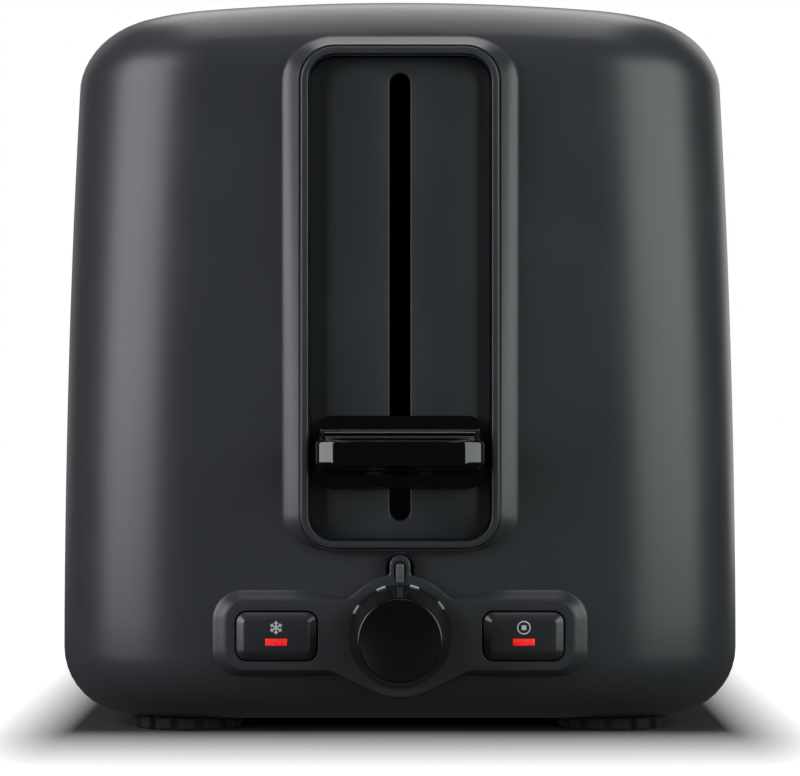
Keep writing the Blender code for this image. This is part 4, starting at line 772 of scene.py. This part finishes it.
def open_patch(bm, low_z, high_z):
    """Takes out the wall behind the frame and the control panel. Returns the edges round the gap."""

    def in_patch(face):
        return (
            abs(face.calc_center_median().x) < PATCH_HALF
            and face.calc_center_median().y < MID_Y
            and face.normal.z < 0.9
            and all(v.co.z > low_z - NEAR for v in face.verts)
            and all(v.co.z + crown_drop(v.co.x, high_z) < high_z + 1.5 for v in face.verts)
            and all(abs(v.co.x) < PATCH_HALF + NEAR for v in face.verts)
        )

    def on_border(vert):
        x, y, z = vert.co
        return y < MID_Y and abs(x) < PATCH_HALF + NEAR and low_z - NEAR < z < high_z + 0.5

    bm.normal_update()
    opened = [face for face in bm.faces if in_patch(face)]
    bmesh.ops.delete(bm, geom=opened, context="FACES")
    return [e for e in bm.edges if e.is_boundary and all(on_border(v) for v in e.verts)]


def raise_frame(bm):
    """The lever's frame: a flat rim, a small step outside it, and a flank that sweeps to the wall."""
    inner = frame_line(pitch=6.0)
    loops = [facing_front(inner, RIM_Y + 0.3)]
    for out, back in ((0.05, 0.12), (0.18, 0.02), (0.35, 0.0), (1.4, 0.0), (1.6, 0.03), (1.75, 0.12)):
        loops.append(facing_front(inner, RIM_Y + back, out))
    outer = [(p + out * 1.8, out) for p, out in inner]
    flank = [(0.0, 1.0), (0.03, 0.94), (0.08, 0.86), (0.16, 0.75), (0.28, 0.6), (0.42, 0.43)]
    flank += [(0.56, 0.28), (0.7, 0.16), (0.82, 0.07), (0.92, 0.02), (1.0, 0.0), (1.1, 0.0)]
    loops += toward_body(outer, lambda point: FRAME_FLANK, RIM_Y + 0.22, flank)
    rim = draw(bm, facing_front(inner, PANEL_Y + 3.0))
    return pull(bm, rim, loops)


def raise_control_panel(bm):
    """A flat face, a rounded edge and a flank to the wall. Returns the face's edge and the foot."""
    line = rounded_line(control_corners(), step=6, pitch=6.0)
    steps = ((0.02, 0.14), (0.08, 0.27), (0.2, 0.36), (0.4, 0.42))
    outer = [(p + out * 0.45, out) for p, out in line]
    slope = [(0.06, 0.92), (0.3, 0.7), (0.55, 0.43), (0.75, 0.22), (0.88, 0.09), (1.0, 0.0), (1.1, 0.0)]
    loops = toward_body(outer, control_widths, CONTROL_Y + 0.4, slope)
    edge = draw(bm, facing_front(line, CONTROL_Y))
    return edge, pull(bm, edge, set_back(line, CONTROL_Y, steps) + loops)


def make_housing():
    bm = bmesh.new()
    rings = wall_rings() + opening_rings()
    pull(bm, draw(bm, rings[0]), rings[1:])
    low_z = rings[PATCH_LOW_ROW][1].z
    high_z = rings[BOTTOM_STEPS + WALL_STEPS + PATCH_HIGH_ROW][1].z
    border = open_patch(bm, low_z, high_z)
    open_tray_mouth(bm)
    open_gland_hole(bm)
    frame_foot = raise_frame(bm)
    panel_edge, panel_foot = raise_control_panel(bm)

    # The wall round both, cut fine enough to follow the body's lean and its rounded edges.
    skin = fill_between(bm, border + frame_foot + panel_foot)
    skin = cut_across(bm, skin, (0, 0, 1), [low_z + 0.9 * k for k in range(1, 18)])
    skin = cut_across(bm, skin, (0, 0, 1), [24 + 5 * k for k in range(31)])
    skin = cut_across(bm, skin, (0, 0, 1), [UPPER + 0.6 + 1.2 * k for k in range(9)])
    skin = cut_across(bm, skin, (1, 0, 0), [-46 + 4 * k for k in range(24)])
    for vert in {v for face in skin for v in face.verts}:
        vert.co.y = front_skin(vert.co.x, vert.co.z)

    # The control face, its button openings, the dial's bore and the index's groove.
    holes = []
    for middle in (-BUTTON_X, BUTTON_X):
        holes += hole_down(bm, button_line(middle), 8.0, 0.25)[0]
    bore, bore_floor = hole_down(bm, circle(0, CONTROL_Z, BORE_RADIUS, 0.02), 1.0, 0.15)
    groove = rounded_line(rectangle(-1.5, CONTROL_Z + 14.6, 1.5, CONTROL_Z + 19.6, 1.1))
    groove, groove_floor = hole_down(bm, groove, 0.9, 0.3)
    fill_between(bm, panel_edge + holes + bore + groove)
    close(bm, bore_floor)
    close(bm, groove_floor)

    obj = piece("housing_shell", bm, "toaster_body", [BODY], ["housing"], sharp=40)
    thick = obj.modifiers.new("wall", "SOLIDIFY")
    thick.thickness = WALL * MM
    thick.offset = -1


def make_index_bar():
    """The raised bar that the dial is read against."""
    bm = bmesh.new()
    line = rounded_line(rectangle(-1.05, CONTROL_Z + 14.1, 1.05, CONTROL_Z + 19.1, 0.5), step=15)
    solid(bm, set_back(line, CONTROL_Y, ((0.85, 0.0), (-0.45, 0.0), (-0.62, -0.08), (-0.7, -0.25))))
    piece("index_bar", bm, "toaster_body", [INDEX])


# ---- Rear and underside ----

HANDLE_LOW, HANDLE_HIGH = box_mm("tray_handle")
GLAND_LOW, GLAND_HIGH = box_mm("cord_gland")
TRAY_HIGH = box_mm("crumb_tray")[1]
MOUTH_HALF = HANDLE_HIGH.x + 0.6
MOUTH_TOP = HANDLE_HIGH.z + 0.3
RECESS_HALF = 30.0
FOOT_NOTCHES, STEPS_PER_NOTCH = 14, 6


def open_rear(bm, low_x, low_z, high_x, high_z):
    """Opens a rectangle in the rear wall and returns the edges round it."""
    near = [
        f
        for f in bm.faces
        if f.calc_center_median().y > MID_Y + BODY_LENGTH / 2 - BOTTOM_EDGE
        and all(low_x - 8 < v.co.x < high_x + 8 and low_z - 12 < v.co.z < high_z + 12 for v in f.verts)
    ]
    near = cut_across(bm, near, (1, 0, 0), [low_x, high_x])
    near = cut_across(bm, near, (0, 0, 1), [low_z, high_z])
    inside = []
    for face in near:
        middle = face.calc_center_median()
        if low_x < middle.x < high_x and low_z < middle.z < high_z:
            inside.append(face)
    bmesh.ops.delete(bm, geom=inside, context="FACES")

    def on_border(vert):
        x, y, z = vert.co
        return y > MID_Y + 100 and low_x - 0.05 < x < high_x + 0.05 and low_z - 0.05 < z < high_z + 0.05

    return [e for e in bm.edges if e.is_boundary and all(on_border(v) for v in e.verts)]


def open_tray_mouth(bm):
    open_rear(bm, -MOUTH_HALF, BODY_FOOT - 1, MOUTH_HALF, MOUTH_TOP)


def open_gland_hole(bm):
    """A round hole with a softened edge, for the cord's bush."""
    x, z = (GLAND_LOW.x + GLAND_HIGH.x) / 2, (GLAND_LOW.z + GLAND_HIGH.z) / 2
    border = open_rear(bm, x - 7.4, z - 8.2, x + 7.4, z + 8.2)
    ring = circle(x, z, 6.1)
    loops = []
    for grow, back in ((0.5, 0.0), (0.25, 0.07), (0.07, 0.25), (0.0, 0.5), (0.0, 3.0)):
        loop = facing_front(ring, 0.0, grow)
        for point in loop:
            point.y = rear_skin(point.x, point.z) - back
        loops.append(loop)
    edge = draw(bm, loops[0])
    pull(bm, edge, loops[1:])
    fill_between(bm, border + edge)


def make_cord_gland():
    """A rubber bush with a rounded mouth. No cord comes out of it."""
    middle = (GLAND_LOW + GLAND_HIGH) / 2
    bore, sleeve, flange = 4.1, 5.9, (GLAND_HIGH.x - GLAND_LOW.x) / 2
    length = GLAND_HIGH.y - GLAND_LOW.y
    profile = [
        (bore, 0.0),
        (bore, length - 1.0),
        (bore + 0.3, length - 0.35),
        (bore + 0.9, length),
        (sleeve - 0.4, length),
        (sleeve - 0.1, length - 0.15),
        (sleeve, length - 0.5),
        (sleeve, length - 3.2),
        (flange - 0.2, length - 3.2),
        (flange, length - 3.4),
        (flange, length - 5.2),
        (flange - 0.2, length - 5.4),
        (sleeve, length - 5.4),
        (sleeve - 0.3, 0.0),
        (bore, 0.0),
    ]
    bm = bmesh.new()
    turned(bm, profile, (middle.x, GLAND_LOW.y, middle.z), (0, 1, 0), steps=48)
    piece("cord_bush", bm, "toaster_body", [RUBBER], ["cord_gland"])


def make_tray_handle():
    """The crumb tray's moulded end, which carries on the body's lower edge, with a finger recess."""
    half, top = HANDLE_HIGH.x, HANDLE_HIGH.z
    back_y = TRAY_HIGH.y + 0.3
    steps = 14
    low = max(HANDLE_LOW.z, BODY_FOOT + 0.1)
    rise = [low + (top - low) * (k / steps) ** 1.6 for k in range(steps + 1)]
    skin = [(rear_skin(0, z), z) for z in rise]
    skin[-1] = (skin[-1][0] - 0.25, skin[-1][1])
    skin.insert(-1, (rear_skin(0, top - 0.25), top - 0.25))
    recess_front, recess_back, recess_top = skin[0][0] - 0.8, back_y + 2.0, low + 5.0
    stride = (recess_front - recess_back) / 5
    plain = [(recess_back + stride * k, low) for k in (1, 3, 4)]
    recess = [(recess_back, recess_top), (recess_front - 1.5, recess_top), (recess_front, recess_top - 1)]
    loops = []
    for x, under, inset in (
        (-half, plain, 0.25),
        (-half + 0.25, plain, 0.0),
        (-RECESS_HALF, plain, 0.0),
        (0.6 - RECESS_HALF, recess, 0.0),
        (RECESS_HALF - 0.6, recess, 0.0),
        (RECESS_HALF, plain, 0.0),
        (half - 0.25, plain, 0.0),
        (half, plain, 0.25),
    ):
        profile = [(back_y, low), (recess_back, low), *under, (recess_front, low), *skin, (back_y, top)]
        loops.append([Vector((x, y - inset if y > back_y + 1 else y, z)) for y, z in profile])
    bm = bmesh.new()
    solid(bm, loops)
    # The clip that grips the tray's folded end.
    block(bm, (-40, HANDLE_LOW.y, TRAY_HIGH.z + 0.3), (40, back_y + 1.7, TRAY_HIGH.z + 1.5), 0.2)
    block(bm, (-40, HANDLE_LOW.y, TRAY_HIGH.z - 3.0), (40, HANDLE_LOW.y + 1.5, TRAY_HIGH.z + 1.5), 0.2)
    piece("tray_end", bm, "tray", [BODY], ["tray_handle"])


def notched_ring(middle, z, radius, depth):
    """A circle with notches cut into it all round."""
    points = []
    for k in range(FOOT_NOTCHES * STEPS_PER_NOTCH):
        reach = radius - (depth if k % STEPS_PER_NOTCH in (0, 1) else 0.0)
        turn = math.tau * (k + 0.5) / (FOOT_NOTCHES * STEPS_PER_NOTCH)
        points.append(Vector((middle.x + reach * math.cos(turn), middle.y + reach * math.sin(turn), z)))
    return points


def make_feet():
    """Round rubber feet with gripping notches round the side and a shallow cup underneath."""
    top = BODY_FOOT - 0.1
    for corner in FOUR_CORNERS:
        low, high = box_mm(f"foot_{corner}")
        middle, radius = (low + high) / 2, (high.x - low.x) / 2
        bm = bmesh.new()
        loops = []
        for z, inset, depth in (
            (0.7, 4.0, 0.0),
            (0.1, 3.4, 0.0),
            (0.0, 3.0, 0.0),
            (0.0, 1.6, 0.3),
            (0.15, 0.6, 0.9),
            (0.6, 0.1, 1.3),
            (1.2, 0.0, 1.4),
            (top - 0.5, 0.0, 1.4),
            (top, 0.3, 1.2),
        ):
            loops.append(notched_ring(middle, z, radius - inset, depth))
        solid(bm, loops)
        stud = [(0.0, 0.0), (3.0, 0.0), (3.0, high.z - top), (0.0, high.z - top)]
        turned(bm, stud, (middle.x, middle.y, top - 0.2), (0, 0, 1), steps=20)
        piece(f"rubber_foot_{corner}", bm, "toaster_body", [RUBBER], [f"foot_{corner}"], sharp=30)


def make_base_screws():
    """Pan heads with a cross recess, driven up into the body's posts."""
    arm, half = 1.9, 0.42
    for corner in FOUR_CORNERS:
        low, high = box_mm(f"base_screw_{corner}")
        x, y = (low.x + high.x) / 2, (low.y + high.y) / 2
        radius = (high.x - low.x) / 2
        bm = bmesh.new()
        round_line = circle(x, y, radius)
        face = draw(bm, facing_up(round_line, low.z, -radius * 0.22))
        head = [(-radius * 0.09, 0.12), (-0.05, 0.45), (0.0, 0.9), (0.0, 2.0)]
        loops = [facing_up(round_line, low.z + rise, grow) for grow, rise in head]
        loops += [facing_up(round_line, z, 1.5 - radius) for z in (low.z + 2.0, high.z - 1.0)]
        close(bm, pull(bm, face, loops + [facing_up(round_line, high.z, 0.8 - radius)]))
        cross = [
            (x + a * along, y + b * across, rounding)
            for a in (-1, 1)
            for b in (-1, 1)
            for along, across, rounding in ((arm, half, 0.12), (half, half, 0.1), (half, arm, 0.12))
        ]
        cross.sort(key=lambda place: math.atan2(place[1] - y, place[0] - x))
        cross = rounded_line(cross, step=45)
        recess = draw(bm, facing_up(cross, low.z))
        close(bm, pull(bm, recess, [facing_up(cross, low.z + 1.1, -0.12)]))
        fill_between(bm, face + recess, (0, 0, -1))
        piece(f"pan_head_{corner}", bm, "toaster_body", [ZINC], [f"base_screw_{corner}"])


# ---- Top ----

SHEET = 1.0
ROLL = 2.0
SLOT_MIDDLE, SLOT_HALF_WIDTH, SLOT_HALF_LENGTH = 27, 16, 74
LIP_Z = 182.8
TAB_Z = 172.8
TABS_Y = ((-67.2, -66.2), (90.2, 91.2))
GUIDE_FRONT_Y, GUIDE_REAR_Y = -64.5, 88.5
GUIDE_PINS_Z = (63.0, 159.0)
SPRING_TURNS, STEPS_PER_TURN = 17, 20
SPRING_WIRE = 0.9
SPRING_HOOK = 7.0


def make_slot_frame():
    """The pressed steel top. Each slot's edge rolls over into a lip that guides the bread."""
    top = box_mm("slot_frame")[1].z
    half_width, half_length = OPENING_HALF_WIDTH - 0.35, OPENING_HALF_LENGTH - 0.35
    low_y, high_y = CHASSIS_MID_Y - half_length, CHASSIS_MID_Y + half_length
    outer = rounded_line(rectangle(-half_width, low_y, half_width, high_y, OPENING_CORNER))
    bm = bmesh.new()
    # The rim turns up 1.7 mm against the body, in a soft fold.
    fold = [(-0.9, -1.2), (-0.6, -0.3), (0.0, 0.0), (1.6, 0.0), (1.7, -0.1), (1.7, -0.9), (1.6, -1.0)]
    fold += [(1.0, -1.1), (0.4, -1.5), (0.06, -2.2), (0.0, -3.0)]
    under = draw(bm, facing_up(outer, top - SHEET, -2.6))
    face = pull(bm, under, [facing_up(outer, top + rise, grow) for rise, grow in fold])
    low_y, high_y = CHASSIS_MID_Y - SLOT_HALF_LENGTH, CHASSIS_MID_Y + SLOT_HALF_LENGTH
    arc = [math.radians(15 * k) for k in range(1, 7)]
    inner = ROLL - SHEET
    slot_faces, slot_backs = [], []
    for middle in (-SLOT_MIDDLE, SLOT_MIDDLE):
        low_x, high_x = middle - SLOT_HALF_WIDTH, middle + SLOT_HALF_WIDTH
        line = rounded_line(rectangle(low_x, low_y, high_x, high_y, 6.0), step=9)
        first = draw(bm, facing_up(line, top, ROLL))
        steps = [(top - ROLL * (1 - math.cos(a)), ROLL * (1 - math.sin(a))) for a in arc]
        steps += [(LIP_Z, 0.0), (LIP_Z - 0.2, 0.2), (LIP_Z - 0.2, SHEET - 0.2), (LIP_Z, SHEET)]
        for a in reversed(arc):
            steps.append((top - SHEET - inner * (1 - math.cos(a)), SHEET + inner * (1 - math.sin(a))))
        steps.append((top - SHEET, ROLL + 0.05))
        slot_faces += first
        slot_backs += pull(bm, first, [facing_up(line, z, grow) for z, grow in steps])
    fill_between(bm, face + slot_faces, (0, 0, 1))
    fill_between(bm, under + slot_backs, (0, 0, -1))
    for near, far in TABS_Y:
        block(bm, (-30, near, TAB_Z), (30, far, top - SHEET + 0.2), 0.2)
    piece("top_sheet", bm, "toaster_body", [ALUMINISED], ["slot_frame"])


def wire(bm, start, end, radius, segments=10):
    """A straight round wire with softened ends."""
    start, end = Vector(start), Vector(end)
    along = end - start
    place = Matrix.Translation((start + end) / 2) @ along.to_track_quat("Z", "Y").to_matrix().to_4x4()
    made = bmesh.ops.create_cone(
        bm, cap_ends=True, segments=segments, radius1=radius, radius2=radius, depth=along.length, matrix=place
    )
    edges = dict.fromkeys(e for v in made["verts"] for e in v.link_edges)
    ends = [e for e in edges if any(len(f.verts) == segments for f in e.link_faces)]
    bmesh.ops.bevel(bm, geom=ends, offset=radius * 0.3, segments=1, affect="EDGES", profile=0.5, material=-1)


def make_bread_guides():
    """Round welded wires: nine uprights, four rows, and a pin at each corner."""
    front, rear = GUIDE_FRONT_Y, GUIDE_REAR_Y
    for name in ("left_inner", "left_outer", "right_inner", "right_outer"):
        low, high = box_mm(f"bread_guide_{name}")
        x, radius = (low.x + high.x) / 2, (high.x - low.x) / 2
        thin = radius * 0.9
        bm = bmesh.new()
        for k in range(9):
            y = front + (rear - front) * k / 8
            wire(bm, (x, y, low.z), (x, y, high.z), radius)
        for k in range(4):
            z = low.z + radius + (high.z - low.z - 2 * radius) * k / 3
            wire(bm, (x, front - thin, z), (x, rear + thin, z), thin)
        for z in GUIDE_PINS_Z:
            wire(bm, (x, low.y, z), (x, front + 1, z), thin)
            wire(bm, (x, rear - 1, z), (x, high.y, z), thin)
        piece(f"wire_guide_{name}", bm, f"guide_{name}", [CHROME], [f"bread_guide_{name}"])


def spring_path(middle, low_z, high_z, radius):
    """The coil's middle line, from the hook at the bottom to the one at the top."""
    hook = [(-0.4 * radius, 0.0), (0.35 * radius, 0.12), (0.6 * radius, 0.45), (0.3 * radius, 0.85)]
    path = [Vector((middle.x, middle.y + y, low_z + z * SPRING_HOOK)) for y, z in hook]
    steps = SPRING_TURNS * STEPS_PER_TURN
    for k in range(steps + 1):
        turn = math.tau * k / STEPS_PER_TURN
        z = low_z + SPRING_HOOK + (high_z - low_z - 2 * SPRING_HOOK) * k / steps
        path.append(Vector((middle.x + radius * math.cos(turn), middle.y + radius * math.sin(turn), z)))
    return path + [Vector((middle.x, middle.y + y, high_z - z * SPRING_HOOK)) for y, z in reversed(hook)]


def make_return_spring():
    """An extension spring of 17 turns, with a hook at each end."""
    low, high = box_mm("return_spring")
    middle = (low + high) / 2
    radius = (high.x - low.x - SPRING_WIRE) / 2
    path = spring_path(middle, low.z + SPRING_WIRE / 2, high.z - SPRING_WIRE / 2, radius)
    curve = bpy.data.curves.new("spring_line", "CURVE")
    curve.dimensions = "3D"
    curve.bevel_depth = SPRING_WIRE / 2
    curve.bevel_resolution = 2
    curve.use_fill_caps = True
    spline = curve.splines.new("POLY")
    spline.points.add(len(path) - 1)
    for corner, point in zip(spline.points, path):
        corner.co = (*point, 1)
    drawn = bpy.data.objects.new("spring_line", curve)
    bpy.context.scene.collection.objects.link(drawn)
    bpy.context.view_layer.update()
    bm = bmesh.new()
    bm.from_mesh(drawn.to_mesh())
    drawn.to_mesh_clear()
    bpy.data.objects.remove(drawn)
    spring = piece("coil_spring", bm, "toaster_body", [SPRING], ["return_spring"], sharp=60)
    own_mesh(spring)


# ---- Lever and controls ----

WEB_HALF_HEIGHT, WEB_HALF_WIDTH = 6.4, 21.0
MARK_DEGREES = (-58.5, -21.5, 16.5, 53.0)
MARK_INNER, MARK_OUTER, MARK_HALF_ANGLE = 13.35, 13.9, 0.09
# Printed ink: how far it stands out, and how deep it is let into the button.
INK_THICK, INK_ROOT = 0.03, 0.02


def make_lever_panel():
    """The insert behind the lever: a flat plate with a long round-ended slot, and a flange behind."""
    bm = bmesh.new()
    back_y = PANEL_HIGH.y
    line = frame_line()
    back = draw(bm, facing_front(line, back_y, FRAME_RIM))
    loops = set_back(line, back_y, ((-1.5, FRAME_RIM), (-1.5, -0.3)))
    loops += set_back(line, PANEL_Y, ((0.5, -0.3), (0.15, -0.38), (0.0, -0.7)))
    face = pull(bm, back, loops)
    half_slot, low_z, high_z = 2.8, PANEL_LOW.z + 7.2, PANEL_HIGH.z - 7.2
    slot = rounded_line(rectangle(-half_slot, low_z, half_slot, high_z, half_slot - 0.01))
    edge = draw(bm, facing_front(slot, PANEL_Y, 0.25))
    loops = set_back(slot, PANEL_Y, ((0.04, 0.12), (0.12, 0.04), (0.25, 0.0)))
    slot_back = pull(bm, edge, loops + [facing_front(slot, back_y)])
    fill_between(bm, face + edge)
    fill_between(bm, back + slot_back)
    piece("lever_plate", bm, "toaster_body", [PANEL], ["lever_panel"])


def grip_line(middle, half_width, half_height):
    """The outline of the lever's web or bar, split so that its long sides shade evenly."""
    low_z, high_z = middle - half_height, middle + half_height
    return rounded_line(rectangle(-half_width, low_z, half_width, high_z, 0.7), step=30, runs=7)


def make_lever_knob():
    """The lever: a rounded back plate, a web that sweeps out of it, and a grip bar with round ends."""
    low, high = box_mm("lever_knob")
    half_width, middle = high.x, (low.z + high.z) / 2
    back_y, plate_y, front_y = high.y, high.y - 4.2, low.y
    bm = bmesh.new()
    plate = rounded_line(rectangle(low.x, low.z, high.x, high.z, 3.9), step=6)
    plate_loops = set_back(plate, back_y, ((0.0, -0.3), (-0.3, 0.0)))
    steps = ((0.5, 0.0), (0.2, -0.06), (0.06, -0.2), (0.0, -0.5), (0.0, -0.7))
    plate_loops += set_back(plate, plate_y, steps)
    # The band under the web leans back, which catches the light from the table.
    for loop in plate_loops[2:]:
        for point in loop:
            point.y += max(0.0, middle - 6.1 - point.z) * 0.2
    solid(bm, plate_loops)
    # Depth in front of the plate, and half height and half width of the web there.
    sweep = [
        (0.0, WEB_HALF_HEIGHT, WEB_HALF_WIDTH),
        (0.06, 6.1, 21.0),
        (0.24, 5.82, 20.95),
        (0.5, 5.66, 20.9),
        (0.85, 5.6, 20.9),
        (3.0, 5.4, 20.5),
        (3.15, 5.2, 20.45),
        (3.3, 5.08, 20.4),
        (3.6, 5.0, 20.35),
        (9.0, 4.45, 20.1),
        (9.15, 4.2, 20.1),
        (9.3, 4.08, 20.15),
        (9.6, 4.0, 20.2),
        (14.6, 3.25, 20.9),
        (16.0, 3.2, 21.6),
    ]
    loops = [facing_front(grip_line(middle, WEB_HALF_WIDTH, WEB_HALF_HEIGHT), plate_y + 0.5)]
    for depth, half_height, reach in sweep:
        loops.append(facing_front(grip_line(middle, reach, half_height), plate_y - depth))
    # The bar's front corners: a tight curve and then a slow one, so reflections run wide.
    flat_x, tight, soft, depth = 15.2, 3.6, 0.4, 4.6
    corner = [(half_width, front_y + 5.2), (half_width, front_y + depth)]
    for turn in (15, 30, 45, 58):
        a = math.radians(turn)
        corner.append((half_width - tight * (1 - math.cos(a)), front_y + depth - tight * math.sin(a) * 0.86))
    x_join, y_join = corner[-1]
    for share in (0.2, 0.4, 0.6, 0.8, 1.0):
        corner.append((x_join - (x_join - flat_x) * share, front_y + (y_join - front_y) * (1 - share) ** 2))
    for x, y in corner:
        near = max(0.0, soft - (y - front_y))
        half_height = 3.2 - soft * (1 - math.sqrt(max(0.0, 1 - (near / soft) ** 2)))
        loops.append(facing_front(grip_line(middle, x, half_height), y))
    loops += set_back(grip_line(middle, flat_x, 2.8), front_y, ((0.0, -0.15), (0.0, -0.3)))
    solid(bm, loops)
    piece("lever_grip", bm, "carriage", [GLOSS], ["lever_knob"], sharp=32)


def make_browning_dial():
    """The dial: a dished front inside a rounded rim, and a tapering skirt."""
    radius = (DIAL_HIGH.x - DIAL_LOW.x) / 2
    length = DIAL_HIGH.y - DIAL_LOW.y
    dish = 10.3
    profile = [(r, 0.04 + 1.15 * (1 - (r / dish) ** 2)) for r in (0.0, 2.0, 4.0, 6.0, 7.5, 8.8, 9.7, dish)]
    profile += [(10.4, 0.02), (10.5, 0.0), (10.75, 0.03), (10.95, 0.15), (11.05, 0.4)]
    profile += [(11.2, 1.2), (11.6, 4.0), (12.75, 11.0), (13.4, 15.5), (13.55, 16.6), (radius, length)]
    profile += [(3.2, length), (3.2, 5.0), (0.0, 5.0)]
    bm = bmesh.new()
    turned(bm, profile, (0, DIAL_LOW.y, CONTROL_Z), (0, 1, 0), steps=128)
    piece("dial_knob", bm, "browning_control", [SATIN], ["browning_dial"], sharp=50)


def make_level_marks():
    """Four raised dashes at the skirt's rear edge, which turn with the dial."""
    bm = bmesh.new()
    for degrees in MARK_DEGREES:
        turns = [math.radians(degrees) + MARK_HALF_ANGLE * k / 3 for k in range(-3, 4)]
        ring = [(MARK_INNER, t) for t in turns] + [(MARK_OUTER, t) for t in reversed(turns)]
        ring = [(r * math.sin(t), CONTROL_Z + r * math.cos(t)) for r, t in ring]
        solid(bm, [[Vector((x, DIAL_HIGH.y - back, z)) for x, z in ring] for back in (0.7, 0.1)])
    piece("level_marks", bm, "browning_control", [INK])


def bar_print(bm, start, end, width, y, thick):
    """A printed stroke between two points of the lever end."""
    side = (end - start).normalized().orthogonal() * width / 2
    corners = [start + side, start - side, end - side, end + side]
    solid(bm, [[Vector((c.x, depth, c.y)) for c in corners] for depth in (y + INK_ROOT, y - thick)])


def print_snowflake(bm, x, y, z):
    """Six arms, each with a fork, and each a hair thicker than the last so that no faces coincide."""
    middle = Vector((x, z))
    for k in range(6):
        turn = math.radians(30 + 60 * k)
        way = Vector((math.cos(turn), math.sin(turn)))
        bar_print(bm, middle, middle + way * 1.75, 0.34, y, INK_THICK + 0.001 * k)
        fork = middle + way * 0.95
        for bend in (-50, 50):
            arm = Vector((math.cos(turn + math.radians(bend)), math.sin(turn + math.radians(bend))))
            bar_print(bm, fork, fork + arm * 0.62, 0.28, y, INK_THICK - 0.004)


def print_stop(bm, x, y, z):
    """A square in a ring."""
    turns = [math.tau * k / 40 for k in range(40)]
    loops = []
    for radius, depth in ((1.8, -INK_THICK), (1.8, INK_ROOT), (1.48, INK_ROOT), (1.48, -INK_THICK)):
        loops.append([Vector((x + radius * math.cos(t), y + depth, z + radius * math.sin(t))) for t in turns])
    first = draw(bm, loops[0])
    bmesh.ops.bridge_loops(bm, edges=first + pull(bm, first, loops[1:]))
    square = rounded_line(rectangle(x - 0.62, z - 0.62, x + 0.62, z + 0.62, 0.12), step=30)
    solid(bm, set_back(square, y, ((INK_ROOT, 0.0), (-INK_THICK, 0.0))))


def make_symbols():
    """Generic signs in place of words: a snowflake for frozen bread and a square in a ring for stop."""
    for name, sign in (("defrost", print_snowflake), ("stop", print_stop)):
        low, high = box_mm(f"{name}_button")
        bm = bmesh.new()
        sign(bm, (low.x + high.x) / 2, low.y, CONTROL_Z + 2.35)
        piece(f"{name}_sign", bm, f"{name}_key", [INK])


def make_button(name):
    """A cap with broad chamfers, a window for its lamp, a flange behind the panel and a stem."""
    low, high = box_mm(f"{name}_button")
    lens_low, lens_high = box_mm(f"{name}_lens")
    line = rounded_line(rectangle(low.x + 1.5, low.z + 1.5, high.x - 1.5, high.z - 1.5, 2.8))
    bm = bmesh.new()
    back = draw(bm, facing_front(line, CONTROL_Y + 9.0))
    cap = ((1.65, 0.0), (1.35, -0.1), (1.15, -0.3), (0.2, -1.75), (0.06, -2.02), (0.0, -2.3))
    face = pull(bm, back, set_back(line, low.y, cap))
    play = 0.08
    low_x, high_x = lens_low.x - play, lens_high.x + play
    window = rectangle(low_x, lens_low.z - play, high_x, lens_high.z + play, 0.25)
    window = rounded_line(window, step=30)
    hole = draw(bm, facing_front(window, low.y))
    close(bm, pull(bm, hole, [facing_front(window, low.y + 4.0)]))
    fill_between(bm, face + hole)
    close(bm, back)
    flange_y = CONTROL_Y + 10.5
    block(bm, (low.x, flange_y, low.z), (high.x, flange_y + 1.5, high.z), 0.3)
    middle = (low.x + high.x) / 2
    block(bm, (middle + 5, flange_y + 1, CONTROL_Z - 2), (middle + 8, high.y, CONTROL_Z + 2), 0.2)
    piece(f"{name}_cap", bm, f"{name}_key", [BUTTON], [f"{name}_button"])
    bm = bmesh.new()
    block(bm, lens_low, lens_high, 0.15)
    piece(f"{name}_window", bm, f"{name}_key", [RED_LENS], [f"{name}_lens"])


# ---- Assembly ----

make_housing()
make_index_bar()
make_slot_frame()
make_lever_panel()
make_lever_knob()
make_browning_dial()
make_level_marks()
make_button("defrost")
make_button("stop")
make_symbols()
make_cord_gland()
make_tray_handle()
make_feet()
make_base_screws()
make_bread_guides()
make_return_spring()

for node, obj in frame["nodes"].items():
    obj.data.materials.clear()
    # The chassis's front plate carries the slot's painted shade.
    obj.data.materials.append(SLOT_SHADE_STEEL if node == "chassis_front" else FINISH[SLOT_OF[node]])

bpy.context.scene.view_settings.view_transform = "Standard"
add_camera()
light_the_studio()
add_world()
add_floor()
